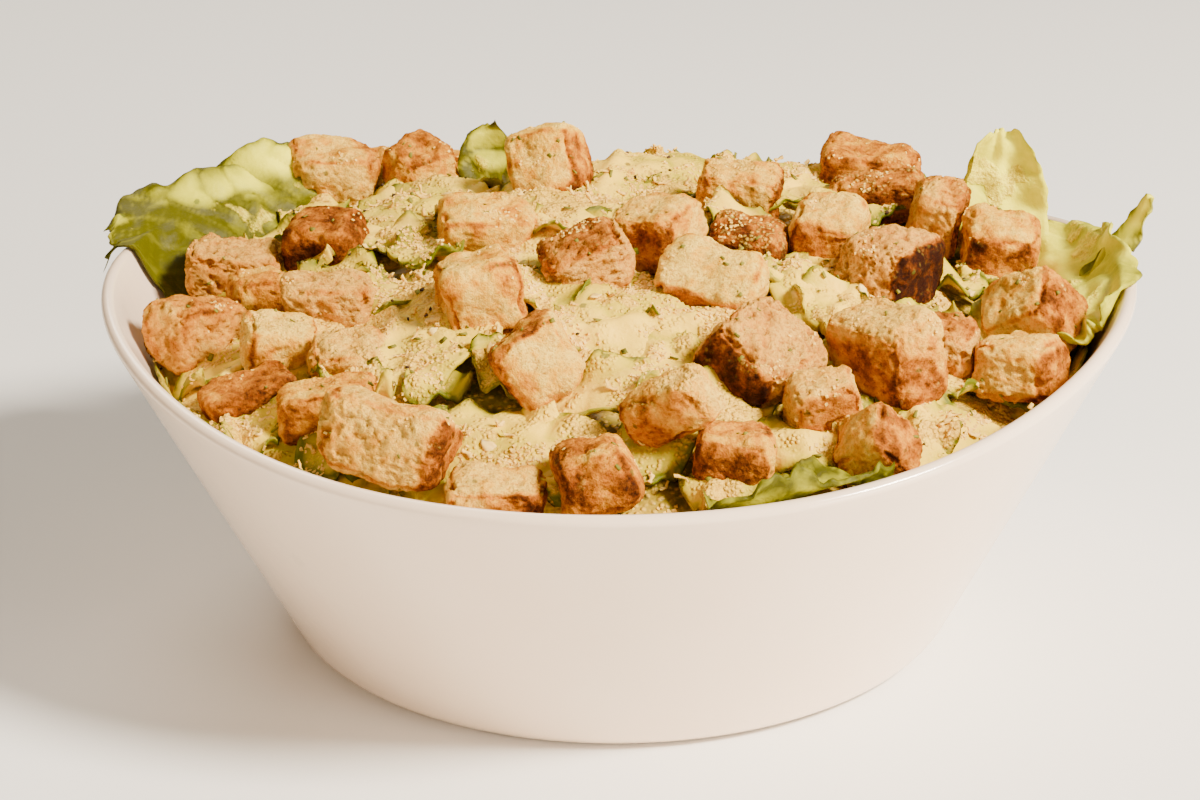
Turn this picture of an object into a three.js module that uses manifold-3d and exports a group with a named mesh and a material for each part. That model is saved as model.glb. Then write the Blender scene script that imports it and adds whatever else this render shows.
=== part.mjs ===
// A caesar salad in its bowl: torn romaine leaves heaped in a white bowl with a waved rim, and toasted
// bread croutons on top. Millimetres, +Z up. The origin is the middle of the bowl's flat underside. The rim
// rises at the sides (-X and +X) and dips in front (-Y) and behind (+Y).

import * as THREE from 'three';
import { mergeVertices } from 'three/addons/utils/BufferGeometryUtils.js';
import Module from 'manifold-3d';

const wasm = await Module();
wasm.setup();

// ---------- driving dimensions ----------

const RIM_RADIUS = 100; // of the lip, where the rim is at its mean height
const RIM_HEIGHT = 66.5; // mean height of the rim
const RIM_WAVE = 6; // how far the rim rises at the sides and dips in front and behind
const RIM_RIPPLE = 1.3; // narrows the two rises
const WALL_SPREAD = 0.495; // how far the wall leans out for each mm of height
const WALL = 2.8; // thickness of the wall
const BASE = 3; // thickness of the base
const FOOT_ROUND = 6; // outer rounding between base and wall
const WELL_ROUND = 14; // inner rounding between base and wall
const ROUND_SIDES = 60; // flat sides round the bowl

const GAP = 0.35; // air between pieces that touch
const HEAP_GAP = 0.7; // air between the packed salad and the bowl

const CROWN = 74; // top of the packed salad, before its lean and lumps
const EDGE_HEIGHT = 53.5; // where the packed salad meets the wall
const EDGE_TILT = 4; // higher behind and lower in front
const EDGE_SHOULDER = 9; // higher at both corners behind
const HEAP_FULLNESS = 0.8; // under 1 keeps the heap high until near its edge
const HEAP_LEAN = 0.07; // the heap is higher behind than in front
const LUMP_HEIGHT = 1.8;
const LUMP_SPACING = 9;
const MOUNDS = [
  { at: [36, -78], height: 5, reach: 18 },
  { at: [-70, -46], height: 3, reach: 18 },
  { at: [-66, 56], height: 4, reach: 16 },
  { at: [92, 8], height: 4, reach: 14 },
  { at: [50, 58], height: 4, reach: 14 },
];
const HEAP_SIDES = 28;
const HEAP_RINGS = [1, 0.84, 0.66, 0.46, 0.24, 0];

const LEAF_THICKNESS = 1.3;
const LEAF_BLUNTNESS = 0.7; // how much of its width a leaf loses at its ends
const LEAF_CELLS = [5, 3]; // along and across a leaf
const LEAF_CLEARANCE = 2; // from the bowl's wall
const LEAF_GIVE = 0.3; // a leaf keeps this share of what reaches nearer to the wall

const CROUTON_SINK = 3; // how far a crouton presses into the salad
const POCKET_GAP = 0.45; // air between a crouton's faces and the salad
const CROUTON_SQUARENESS = 4.5; // 2 would be a ball, more is closer to a box
const SMALL_CROUTON = 15; // one no longer than this has fewer faces
const CROUTON_LEAN = 0.12; // how far a crouton's sides are out of square
const CROUTON_REACH = 36; // croutons further apart than this never touch
const DROP_HEIGHT = 32; // height over the salad from which a crouton is lowered
const DROP_STEPS = [2, 0.5];
const SLIDES = [0, 2, 4, 6]; // how far a crouton may slide sideways as it settles
const SLIDE_WAYS = 8;
const SLIDE_COST = 0.6; // a slide has to lower a crouton by at least this share of its length

const CRUMBS = 16; // lumps of grated cheese on the leaves
const CRUMB_SIZE = [3.4, 2.2, 1.5]; // half length, half width and half height
const CRUMB_SINK = 0.9;
const CRUMB_SPREAD = 84; // the crumbs lie within this radius

const wallSlant = Math.hypot(1, WALL_SPREAD); // length of wall for each mm of height
const wallLean = Math.atan(WALL_SPREAD);
const footRadius = RIM_RADIUS - RIM_HEIGHT * WALL_SPREAD; // where the outer wall would reach the ground
const RIGHT_ANGLE = Math.PI / 2;

const toRadians = THREE.MathUtils.degToRad;

/** A fixed number from 0 to 1 for each seed, so that every crouton and leaf differs in its own way. */
function chance(seed) {
  const value = Math.sin(seed * 12.9898) * 43758.5453;
  return value - Math.floor(value);
}

/** A fixed number from -1 to 1 for each seed. */
function sway(seed) {
  return 2 * chance(seed) - 1;
}

// ---------- solids ----------

/** A geometry with shared corners merged and collapsed triangles left out. */
function closed(geometry) {
  const bare = new THREE.BufferGeometry();
  bare.setAttribute('position', geometry.getAttribute('position'));
  bare.setIndex(geometry.getIndex());
  const merged = mergeVertices(bare, 1e-4);
  const corners = merged.getIndex().array;
  const kept = [];
  for (let i = 0; i < corners.length; i += 3) {
    const [a, b, c] = corners.slice(i, i + 3);
    if (a !== b && b !== c && c !== a) kept.push(a, b, c);
  }
  merged.setIndex(kept);
  return merged;
}

/** A geometry as a solid that can be joined and cut. */
function solidOf(geometry) {
  const shell = closed(geometry);
  const vertProperties = Float32Array.from(shell.getAttribute('position').array);
  const triVerts = Uint32Array.from(shell.getIndex().array);
  return new wasm.Manifold(new wasm.Mesh({ numProp: 3, vertProperties, triVerts }));
}

/** A solid back as a geometry. */
function geometryOf(solid) {
  const mesh = solid.getMesh();
  const geometry = new THREE.BufferGeometry();
  geometry.setAttribute('position', new THREE.BufferAttribute(Float32Array.from(mesh.vertProperties), 3));
  geometry.setIndex([...mesh.triVerts]);
  geometry.computeVertexNormals();
  return geometry;
}

/** Moves every corner of a geometry to move(point). */
function warp(geometry, move) {
  const position = geometry.getAttribute('position');
  const point = new THREE.Vector3();
  for (let i = 0; i < position.count; i++) {
    move(point.fromBufferAttribute(position, i));
    position.setXYZ(i, point.x, point.y, point.z);
  }
  return geometry;
}

/** A profile of [radius, height] turned round the upright axis. */
function turned(profile, sides) {
  const points = profile.map(([radius, height]) => new THREE.Vector2(radius, height));
  return new THREE.LatheGeometry(points, sides).rotateX(RIGHT_ANGLE);
}

// ---------- the bowl ----------

/** How far the rim stands above its mean height, by the angle round the bowl. */
function rimLift(angle) {
  return RIM_WAVE * Math.cos(2 * angle) + RIM_RIPPLE * (Math.cos(4 * angle) - 1);
}

/** Radius of the bowl's inner face at a height. */
function innerRadius(height) {
  return footRadius - WALL * wallSlant + WALL_SPREAD * height;
}

/** The rounded corner from a level floor up to the leaning wall that would reach the ground at wallFoot. */
function roundedCorner(wallFoot, floorHeight, round, steps) {
  const centreRadius = wallFoot + WALL_SPREAD * (floorHeight + round) - wallSlant * round;
  const arc = new THREE.EllipseCurve(
    centreRadius, floorHeight + round, round, round, -RIGHT_ANGLE, -wallLean,
  );
  return arc.getPoints(steps).map(({ x, y }) => [x, y]);
}

/** The bowl's section, grown by a margin all round where grow is above 0. */
function bowlProfile(grow) {
  const lipRound = WALL / 2 + grow;
  const lipHeight = RIM_HEIGHT - WALL / 2;
  const lipRadius = footRadius + WALL_SPREAD * lipHeight - wallSlant * WALL / 2;
  const lip = new THREE.EllipseCurve(
    lipRadius, lipHeight, lipRound, lipRound, -wallLean, Math.PI - wallLean,
  ).getPoints(4).map(({ x, y }) => [x, y]);
  const outerFoot = footRadius + grow * wallSlant;
  const innerFoot = footRadius - (WALL + grow) * wallSlant;
  return [
    [0, -grow],
    ...roundedCorner(outerFoot, -grow, FOOT_ROUND, 3),
    ...lip,
    ...roundedCorner(innerFoot, BASE + grow, WELL_ROUND, 3).reverse(),
    [0, BASE + grow],
  ];
}

/** Slides a point of the upright bowl along its wall, so that the rim rises and dips. */
function waveRim(point) {
  const share = Math.max(0, point.z - BASE) / (RIM_HEIGHT - BASE);
  const lift = rimLift(Math.atan2(point.y, point.x)) * share;
  const radius = Math.hypot(point.x, point.y);
  const widen = radius > 0 ? 1 + (WALL_SPREAD * lift) / radius : 1;
  point.set(point.x * widen, point.y * widen, point.z + lift);
}

function bowlGeometry(grow = 0) {
  return warp(turned(bowlProfile(grow), ROUND_SIDES), waveRim);
}

// ---------- the heap of salad ----------

/** Height at which the packed salad meets the wall. */
function edgeHeight(angle) {
  const shoulder = EDGE_SHOULDER * Math.max(0, Math.sin(angle)) * Math.cos(angle) ** 2;
  return EDGE_HEIGHT + EDGE_TILT * Math.sin(angle) + shoulder;
}

/** Radius at which the packed salad meets the wall. */
function edgeRadius(angle) {
  return innerRadius(edgeHeight(angle)) - HEAP_GAP;
}

/** Height of the packed salad's top over a place in the bowl. */
function heap(x, y) {
  const angle = Math.atan2(y, x);
  const inward = Math.max(0, 1 - (Math.hypot(x, y) / edgeRadius(angle)) ** 2);
  const lumps = LUMP_HEIGHT * Math.sin(x / LUMP_SPACING + 1) * Math.cos(y / LUMP_SPACING);
  const mounds = MOUNDS.reduce((sum, { at, height, reach }) => {
    return sum + height * Math.exp(-((x - at[0]) ** 2 + (y - at[1]) ** 2) / reach ** 2);
  }, 0);
  const dome = (CROWN - edgeHeight(angle)) * inward ** HEAP_FULLNESS;
  return edgeHeight(angle) + dome + (lumps + HEAP_LEAN * y) * inward + mounds;
}

/** The packed salad under the leaves that show. */
function heapGeometry() {
  const meanEdge = innerRadius(EDGE_HEIGHT) - HEAP_GAP;
  const wallFoot = footRadius - (WALL + HEAP_GAP) * wallSlant;
  const profile = [
    [0, BASE + HEAP_GAP],
    ...roundedCorner(wallFoot, BASE + HEAP_GAP, WELL_ROUND, 2),
    ...HEAP_RINGS.map((ring) => [ring * meanEdge, EDGE_HEIGHT]),
  ];
  return warp(turned(profile, HEAP_SIDES), (point) => {
    const radius = Math.hypot(point.x, point.y);
    const angle = Math.atan2(point.y, point.x);
    if (point.z < EDGE_HEIGHT || radius === 0) {
      if (point.z >= EDGE_HEIGHT) point.z = heap(0, 0);
      return;
    }
    const widen = edgeRadius(angle) / meanEdge;
    point.set(point.x * widen, point.y * widen, 0);
    point.z = heap(point.x, point.y);
  });
}

// ---------- leaves ----------

// Each leaf that shows. at: its middle. lift: its middle above the packed salad. size: length and width.
// heading: which way its tip points, counted from +X towards +Y. rise: how far the tip tips up. roll: turn
// about its length. bend and cup: how far its ends and its sides curl up. ruffle: height of its waved sides.
// follow: 1 lies along the heap, 0 stands free.
const LEAVES = [
  // the left side, leaning on the rim and over it
  { at: [-82, 30], lift: 6, size: [62, 36], heading: 42, rise: -6, roll: 42, bend: 3, cup: -2, ruffle: 3, follow: 0 },
  { at: [-74, 46], lift: 7, size: [44, 30], heading: 30, rise: 4, roll: 42, bend: -3, cup: -2, ruffle: 3, follow: 0 },
  { at: [-76, -30], lift: 0, size: [60, 26], heading: 112, rise: 0, roll: 14, bend: 1, cup: 2, ruffle: 2, follow: 0.9 },
  { at: [-54, -62], lift: 0, size: [42, 24], heading: 136, rise: 0, roll: 14, bend: 1, cup: 2, ruffle: 2, follow: 0.9 },
  // the back
  { at: [-42, 32], lift: 4, size: [38, 30], heading: 60, rise: 0, roll: 8, bend: -2, cup: -4, ruffle: 2, follow: 1 },
  { at: [-36, 68], lift: 3, size: [46, 30], heading: 24, rise: 0, roll: 0, bend: -2, cup: -3, ruffle: 2, follow: 0.9 },
  { at: [-2, 50], lift: 5, size: [50, 44], heading: 84, rise: 0, roll: -4, bend: -3, cup: -4, ruffle: 2, follow: 0.9 },
  { at: [8, 76], lift: 3, size: [50, 26], heading: 4, rise: 0, roll: 0, bend: -2, cup: -2, ruffle: 2, follow: 0.9 },
  { at: [36, 56], lift: 4, size: [44, 36], heading: 66, rise: 0, roll: 6, bend: -2, cup: -4, ruffle: 2, follow: 0.9 },
  { at: [66, 52], lift: 0, size: [44, 28], heading: 130, rise: 0, roll: -8, bend: 2, cup: 3, ruffle: 2, follow: 0.8 },
  { at: [-31, 59], lift: 6, size: [18, 12], heading: 95, rise: 65, roll: 0, bend: 2, cup: 1, ruffle: 1, follow: 0 },
  // the right side, leaning on the rim and over it
  { at: [78, 33], lift: 10, size: [34, 18], heading: 100, rise: 72, roll: 0, bend: 4, cup: 4, ruffle: 1.5, follow: 0 },
  { at: [90, 6], lift: 6, size: [54, 28], heading: -84, rise: 0, roll: 34, bend: 2, cup: 2, ruffle: 3, follow: 0 },
  { at: [98, 11], lift: 10, size: [34, 6], heading: 8, rise: 58, roll: 50, bend: 2, cup: 1, ruffle: 1, follow: 0 },
  { at: [78, -36], lift: 0, size: [60, 24], heading: -114, rise: 0, roll: 14, bend: 1, cup: 2, ruffle: 2, follow: 0.8 },
  // the middle
  { at: [-38, -30], lift: 4, size: [50, 36], heading: 64, rise: 0, roll: -9, bend: -2, cup: -4, ruffle: 2, follow: 1 },
  { at: [8, -34], lift: 4, size: [46, 34], heading: 18, rise: 0, roll: 10, bend: -2, cup: -4, ruffle: 2, follow: 1 },
  { at: [-12, 14], lift: 4, size: [48, 34], heading: 10, rise: 0, roll: 8, bend: -2, cup: -4, ruffle: 2, follow: 1 },
  { at: [50, -8], lift: 4, size: [46, 36], heading: 70, rise: 0, roll: 10, bend: -2, cup: -4, ruffle: 2, follow: 1 },
  // the front
  { at: [36, -83], lift: 5, size: [34, 14], heading: 22, rise: 2, roll: -30, bend: -1, cup: 2, ruffle: 2, follow: 0.3 },
  { at: [-16, -70], lift: 3, size: [44, 26], heading: -14, rise: 0, roll: 8, bend: -2, cup: -3, ruffle: 2, follow: 0.9 },
  { at: [60, -60], lift: 3, size: [38, 22], heading: 40, rise: 0, roll: 10, bend: -2, cup: -2, ruffle: 2, follow: 0.9 },
];

/** A thin closed sheet about middle(u, v), u and v from -1 to 1, with both faces split alike. */
function sheet([along, across], middle, thickness) {
  const grid = new THREE.PlaneGeometry(2, 2, along, across);
  const flat = grid.getAttribute('position');
  const places = [];
  for (const side of [0.5, -0.5]) {
    for (let i = 0; i < flat.count; i++) {
      const point = middle(flat.getX(i), flat.getY(i));
      places.push(point.x, point.y, point.z + side * thickness);
    }
  }
  const faces = [...grid.getIndex().array];
  const upper = faces.length;
  for (let i = 0; i < upper; i += 3) {
    faces.push(faces[i] + flat.count, faces[i + 2] + flat.count, faces[i + 1] + flat.count);
  }
  const row = along + 1;
  const edge = [];
  for (let i = 0; i < along; i++) edge.push(i);
  for (let i = 0; i < across; i++) edge.push(along + i * row);
  for (let i = along; i > 0; i--) edge.push(across * row + i);
  for (let i = across; i > 0; i--) edge.push(i * row);
  edge.forEach((from, i) => {
    const to = edge[(i + 1) % edge.length];
    faces.push(from, to, to + flat.count, from, to + flat.count, from + flat.count);
  });
  const solid = new THREE.BufferGeometry();
  solid.setAttribute('position', new THREE.Float32BufferAttribute(places, 3));
  solid.setIndex(faces);
  return solid;
}

/** Draws a leaf's point in from the bowl's wall. */
function keepInside(point) {
  const radius = Math.hypot(point.x, point.y);
  const room = innerRadius(point.z) - LEAF_CLEARANCE;
  if (radius < room) return;
  const share = (room + LEAF_GIVE * (radius - room)) / radius;
  point.set(point.x * share, point.y * share, point.z);
}

/** A torn leaf, bent and waved, turned to its heading and laid on the heap. */
function leafGeometry({ at, lift, size, heading, rise, roll, bend, cup, ruffle, follow }, number) {
  const [length, width] = size;
  const [x, y] = at;
  const phase = chance(number) * 2 * Math.PI;
  const flat = (u, v) => {
    const across = (v * width * (1 - LEAF_BLUNTNESS * Math.abs(u) ** 3)) / 2;
    const wave = ruffle * v * v * Math.sin(5 * u + 2 * v + phase);
    return new THREE.Vector3((u * length) / 2, across, bend * u * u + cup * v * v + wave);
  };
  const turn = new THREE.Euler(toRadians(roll), -toRadians(rise), toRadians(heading), 'ZYX');
  const solid = sheet(LEAF_CELLS, flat, LEAF_THICKNESS);
  return warp(solid, (point) => {
    point.applyEuler(turn).add(new THREE.Vector3(x, y, heap(x, y) + lift));
    point.z += follow * (heap(point.x, point.y) - heap(x, y));
    if (follow > 0) keepInside(point);
  });
}

// ---------- croutons ----------

// Each crouton: its place over the bowl, its size, and its turns about X, Y and Z, laid from the lowest up.
const CROUTONS = [
  // the front
  { at: [-17.5, -83], size: [17, 12, 10], turn: [8, 4, 4] },
  { at: [-2, -80], size: [14, 14, 13], turn: [-8, -16, 9] },
  { at: [24, -73], size: [14, 12, 11], turn: [6, 3, -5] },
  { at: [-34.5, -73], size: [24, 18, 14], turn: [-18, 10, -15] },
  { at: [49, -67], size: [14, 13, 12], turn: [-47, -28, -33] },
  { at: [-67, -45], size: [17, 11, 8], turn: [6, -8, 30] },
  { at: [28.5, -45], size: [20, 19, 13], turn: [30, -5, 53] },
  { at: [52, -42], size: [21, 15, 17], turn: [8, -1, -52] },
  { at: [17, -72], size: [18, 10, 10], turn: [17, -26, -28] },
  { at: [40, -60], size: [13, 10, 10], turn: [10, -6, 12] },
  { at: [-52, -51], size: [19, 12, 10], turn: [4, -6, 8] },
  // the right
  { at: [82, -36], size: [15, 18, 12], turn: [-10, -5, -30] },
  { at: [66, -32], size: [12, 11, 13], turn: [8, 8, -20] },
  { at: [81.5, -16], size: [17, 14, 15], turn: [-54, -29, -31] },
  { at: [77, 17], size: [16, 14, 15], turn: [12, 6, -2] },
  { at: [66.5, 25], size: [11, 12, 16], turn: [6, 12, -10] },
  { at: [54, -4], size: [17, 22, 15], turn: [-6, 7, -32] },
  { at: [42, 8], size: [14, 14, 14], turn: [14, 6, -10] },
  { at: [53, 36], size: [21, 12, 9], turn: [8, -4, -4] },
  // the left
  { at: [-84, -18], size: [18, 14, 13], turn: [4, 8, 50] },
  { at: [-66, -34], size: [14, 12, 11], turn: [10, 10, 20] },
  { at: [-50, -37], size: [14, 12, 10], turn: [10, -3, 4] },
  { at: [-56, -17], size: [17, 13, 11], turn: [6, 2, 8] },
  { at: [-71, -4], size: [12, 11, 10], turn: [8, 0, 20] },
  { at: [-79, 10], size: [20, 14, 11], turn: [6, 8, 6] },
  { at: [-60, 12], size: [16, 14, 12], turn: [10, -8, -14] },
  // the middle
  { at: [-12, -50], size: [15, 15, 14], turn: [-10, -32, 15] },
  { at: [-24.5, -28], size: [16, 15, 16], turn: [-1, -9, 18] },
  { at: [-5, -15], size: [17, 14, 12], turn: [13, -25, 8] },
  { at: [19.5, -20], size: [20, 14, 11], turn: [37, 6, -19] },
  { at: [30, 4], size: [16, 12, 10], turn: [8, 8, -10] },
  { at: [10, 0], size: [15, 16, 13], turn: [4, -5, -28] },
  { at: [-27, 9], size: [19, 14, 11], turn: [14, 4, 8] },
  { at: [24, 25.5], size: [17, 14, 12], turn: [8, 8, -6] },
  // the back
  { at: [-16, 37], size: [16, 17, 16], turn: [-20, -12, -5] },
  { at: [-65, 56], size: [18, 15, 14], turn: [8, 4, 12] },
  { at: [-46, 57], size: [14, 13, 13], turn: [10, -10, 40] },
  { at: [52, 57], size: [21, 16, 12], turn: [6, 10, -6] },
  { at: [-18, 62], size: [15, 14, 12], turn: [6, 4, 70] },
  { at: [-43, 75], size: [14, 12, 11], turn: [-8, 6, 20] },
  { at: [-60, 72], size: [12, 11, 9], turn: [4, -8, 50] },
  { at: [50, 76], size: [13, 11, 10], turn: [8, 6, 12] },
  { at: [70, 52], size: [15, 13, 12], turn: [-6, 10, 40] },
];

/** Turns a 2 mm cube into a crouton's size, leans its sides and gives it its turn. */
function shapeCrouton(cube, { size, turn }, number, grow) {
  const [leanX, leanY, leanZ] = [1, 2, 3].map((axis) => CROUTON_LEAN * sway(number * 7 + axis));
  const [halfX, halfY, halfZ] = size.map((side) => side / 2 + grow);
  const turnBy = new THREE.Euler(...turn.map(toRadians), 'ZYX');
  return warp(cube, (point) => {
    const { x, y, z } = point;
    point.set(halfX * x * (1 + leanX * z), halfY * y * (1 + leanY * x), halfZ * z * (1 + leanZ * y));
    point.applyEuler(turnBy);
  });
}

/** A toasted bread cube centred on the origin: a box with rounded edges and corners. */
function croutonGeometry(crouton, number, grow = 0) {
  const cells = Math.max(...crouton.size) > SMALL_CROUTON ? 3 : 2;
  const cube = warp(new THREE.BoxGeometry(2, 2, 2, cells, cells, cells), (point) => {
    const corner = point.toArray().map((c) => Math.sign(c) * Math.abs(c) ** 0.6);
    const reach = corner.reduce((sum, c) => sum + Math.abs(c) ** CROUTON_SQUARENESS, 0);
    point.fromArray(corner).divideScalar(reach ** (1 / CROUTON_SQUARENESS));
  });
  return shapeCrouton(cube, crouton, number, grow);
}

/** The plain box that a crouton fits in, with air round it. */
function pocketGeometry(crouton, number) {
  return shapeCrouton(new THREE.BoxGeometry(2, 2, 2), crouton, number, POCKET_GAP);
}

/** The lowest height at which a solid clears everything below it, found by lowering it step by step. */
function restingHeight(solid, [x, y], obstacles) {
  const clears = (z) => {
    const placed = solid.translate([x, y, z]);
    return obstacles.every((obstacle) => placed.intersect(obstacle).isEmpty());
  };
  let height = heap(x, y) + DROP_HEIGHT;
  for (const step of DROP_STEPS) {
    while (clears(height - step)) height -= step;
  }
  return height;
}

/** Where a crouton comes to rest: it slides a little to one side where it lies lower there. */
function restingPlace(solid, [x, y], obstacles) {
  let best = null;
  for (const slide of SLIDES) {
    for (let turn = 0; turn < (slide > 0 ? SLIDE_WAYS : 1); turn++) {
      const angle = (turn / SLIDE_WAYS) * 2 * Math.PI;
      const at = [x + slide * Math.cos(angle), y + slide * Math.sin(angle)];
      const height = restingHeight(solid, at, obstacles);
      const cost = height - heap(...at) + SLIDE_COST * slide;
      if (best === null || cost < best.cost) best = { cost, place: [...at, height] };
    }
  }
  return best.place;
}

/** Every crouton's solid at rest on the salad, in the bowl and on the croutons laid before it. */
function layCroutons(core, bowl) {
  const bed = core.translate([0, 0, -CROUTON_SINK]);
  const laid = [];
  CROUTONS.forEach((crouton, number) => {
    const { at } = crouton;
    const spaced = solidOf(croutonGeometry(crouton, number, GAP));
    const near = laid.filter(({ place }) => Math.hypot(place[0] - at[0], place[1] - at[1]) < CROUTON_REACH);
    const place = restingPlace(spaced, at, [bed, bowl, ...near.map(({ solid }) => solid)]);
    const solid = solidOf(croutonGeometry(crouton, number)).translate(place);
    const pocket = solidOf(pocketGeometry(crouton, number)).translate(place);
    laid.push({ place, solid, pocket });
  });
  return laid;
}

// ---------- grated cheese ----------

/** A small lump of cheese pressed into whatever leaf lies under it. */
function crumb(number, under) {
  const angle = 2 * Math.PI * chance(number * 3 + 1);
  const radius = CRUMB_SPREAD * Math.sqrt(chance(number * 3 + 2));
  const at = [radius * Math.cos(angle), radius * Math.sin(angle)];
  const turn = new THREE.Euler(sway(number + 0.2), sway(number + 0.4), Math.PI * sway(number + 0.6));
  const lump = new THREE.OctahedronGeometry(1);
  const solid = solidOf(warp(lump, (point) => {
    point.multiply(new THREE.Vector3(...CRUMB_SIZE)).applyEuler(turn);
  }));
  return solid.translate([...at, restingHeight(solid, at, under) - CRUMB_SINK]);
}

/** The largest piece of a solid; loose scraps are dropped. */
function largest(solid) {
  return solid.decompose().reduce((best, piece) => (piece.volume() > best.volume() ? piece : best));
}

// ---------- the object ----------

const MATERIALS = {
  bowl: new THREE.MeshStandardMaterial({ color: 0xf1ece4, roughness: 0.25, metalness: 0 }),
  salad: new THREE.MeshStandardMaterial({ color: 0xd9d79a, roughness: 0.5, metalness: 0 }),
  crouton: new THREE.MeshStandardMaterial({ color: 0xd79a4e, roughness: 0.85, metalness: 0 }),
};

function named(name, geometry, material) {
  const mesh = new THREE.Mesh(geometry, material);
  mesh.name = name;
  return mesh;
}

const core = solidOf(heapGeometry());
const bowlRoom = solidOf(bowlGeometry(GAP));
const croutons = layCroutons(core, bowlRoom);
const leaves = LEAVES.map((leaf, number) => solidOf(leafGeometry(leaf, number + 1)));
const dressed = wasm.Manifold.union([core, ...leaves]);
const crumbs = Array.from({ length: CRUMBS }, (_, number) => crumb(number, [dressed]));
const heaped = wasm.Manifold.union([dressed, ...crumbs]);
const taken = wasm.Manifold.union([bowlRoom, ...croutons.map(({ pocket }) => pocket)]);
const salad = largest(heaped.subtract(taken));

const group = new THREE.Group();
group.add(named('bowl', closed(bowlGeometry()), MATERIALS.bowl));
group.add(named('salad', geometryOf(salad), MATERIALS.salad));
croutons.forEach(({ solid }, i) => {
  const name = `crouton_${String(i + 1).padStart(2, '0')}`;
  group.add(named(name, geometryOf(solid), MATERIALS.crouton));
});

export default group;
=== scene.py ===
"""A caesar salad in a white bowl with a waved rim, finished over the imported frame.

Lengths are millimetres until a mesh is made, which is in metres. +Z is up and -Y is the front. The
croutons' shapes, the heap and the leaves follow the same rules as the plain solids that they replace.
"""

import math
from collections import namedtuple

import bpy
import numpy as np
from mathutils import Euler, Matrix, Vector


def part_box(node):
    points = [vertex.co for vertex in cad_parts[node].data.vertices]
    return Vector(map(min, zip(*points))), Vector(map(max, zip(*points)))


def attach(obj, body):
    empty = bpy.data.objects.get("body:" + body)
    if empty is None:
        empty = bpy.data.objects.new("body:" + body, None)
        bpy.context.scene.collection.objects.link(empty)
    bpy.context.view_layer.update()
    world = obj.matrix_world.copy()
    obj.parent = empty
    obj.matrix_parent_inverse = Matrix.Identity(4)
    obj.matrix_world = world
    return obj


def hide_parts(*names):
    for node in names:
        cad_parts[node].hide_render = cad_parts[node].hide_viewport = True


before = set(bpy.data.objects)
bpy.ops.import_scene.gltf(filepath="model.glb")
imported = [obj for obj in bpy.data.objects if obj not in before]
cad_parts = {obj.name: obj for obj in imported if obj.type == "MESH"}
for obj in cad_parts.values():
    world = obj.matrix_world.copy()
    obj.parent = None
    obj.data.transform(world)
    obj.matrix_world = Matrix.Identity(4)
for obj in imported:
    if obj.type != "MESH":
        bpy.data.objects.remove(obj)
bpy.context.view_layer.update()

MM = 0.001
BODY = "root"

# ---------- driving dimensions ----------

RIM_RADIUS = 100
RIM_HEIGHT = 66.5
RIM_WAVE = 6
RIM_RIPPLE = 1.3
WALL_SPREAD = 0.495
WALL = 2.8
BASE = 3
FOOT_ROUND = 6
WELL_ROUND = 14
BOWL_SIDES = 240

CORE_GAP = 0.5
CROWN = 74
EDGE_HEIGHT = 53.5
EDGE_TILT = 4
EDGE_SHOULDER = 9
HEAP_FULLNESS = 0.8
HEAP_LEAN = 0.07
LUMP_HEIGHT = 1.8
LUMP_SPACING = 9
MOUNDS = [  # across, back, height and reach
    (36, -78, 5, 18), (-70, -46, 3, 18), (-66, 56, 4, 16), (92, 8, 4, 14), (50, 58, 4, 14),
]
CORE_SIDES = 210
CORE_RINGS = 72
CORE_DEPTH = 1.6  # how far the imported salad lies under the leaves

LEAF_CELL = 0.8
LEAF_THICKNESS = 0.7
LEAF_BLUNTNESS = 0.7
LEAF_CLEARANCE = 1.2
LEAF_GIVE = 0.3
RIM_CLEARANCE = 0.9
VEIN_SPACING = 6.5
VEIN_REACH = 16
RIB_WIDTH = 2.6
RIB_TAPER = 0.55
RIB_RISE = 1.3
RIB_DROP = 0.9
FRILL = 0.55
BLISTER_SIZE = 5.2
BLISTER_HEIGHT = 1.6
BULGE_SIZE = 12
BULGE_HEIGHT = 1.3
SHADE_TOP = 76.5  # from here down to the next a leaf over the rim is painted darker and greener, as painted shade on its lower part
SHADE_FOOT = 71.5
LEAF_STEP = 31.7  # keeps one leaf's noise apart from the next one's
RIM_GREEN = 0.8  # a leaf this green is finished like those over the rim
LEFT_LEAVES = -60  # leaves over the rim left of this are a piece of their own
BITS_OF_LEAF = 90
BITS_REACH = 86
BITS_SEED = 400
GOLDEN_ANGLE = 2.399963  # radians from one bit of leaf to the next

CROUTON_CELL = 0.42
CROUTON_SQUARENESS = 4.5
CROUTON_LEAN = 0.12
CRUMB_STEP = 57.3  # keeps one crouton's noise apart from the next one's
PORE_SIZE = 2.2
PORE_DEPTH = 1.1
CRUMB_RELIEF = 0.5
RIM_BROWN = 0.62  # edges brown no further than this

wall_slant = math.hypot(1, WALL_SPREAD)
wall_lean = math.atan(WALL_SPREAD)
foot_radius = RIM_RADIUS - RIM_HEIGHT * WALL_SPREAD


def chance(seed):
    """A fixed number from 0 to 1 for each seed."""
    value = math.sin(seed * 12.9898) * 43758.5453
    return value - math.floor(value)


def sway(seed):
    """A fixed number from -1 to 1 for each seed."""
    return 2 * chance(seed) - 1


def turned_by(*degrees):
    """What rows of points are multiplied by to turn them about X, then Y, then Z."""
    return np.array(Euler([math.radians(angle) for angle in degrees], "XYZ").to_matrix()).T


# ---------- numbers that vary over a surface ----------

# Keeps the lumps from lining up with the sides.
NOISE_TURN = np.array(Euler((0.7, 0.5, 0.9), "XYZ").to_matrix())


def lattice(cells, seed):
    """A fixed number from -1 to 1 for every cell of an endless grid."""
    x, y, z = (cells[..., axis].astype(np.int64) for axis in range(3))
    mixed = (x * 73856093) ^ (y * 19349663) ^ (z * 83492791) ^ (seed * 265443576)
    mixed = (mixed ^ (mixed >> 13)) * 1274126177
    return ((mixed ^ (mixed >> 16)) & 0xFFFF) / 32767.5 - 1


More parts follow.
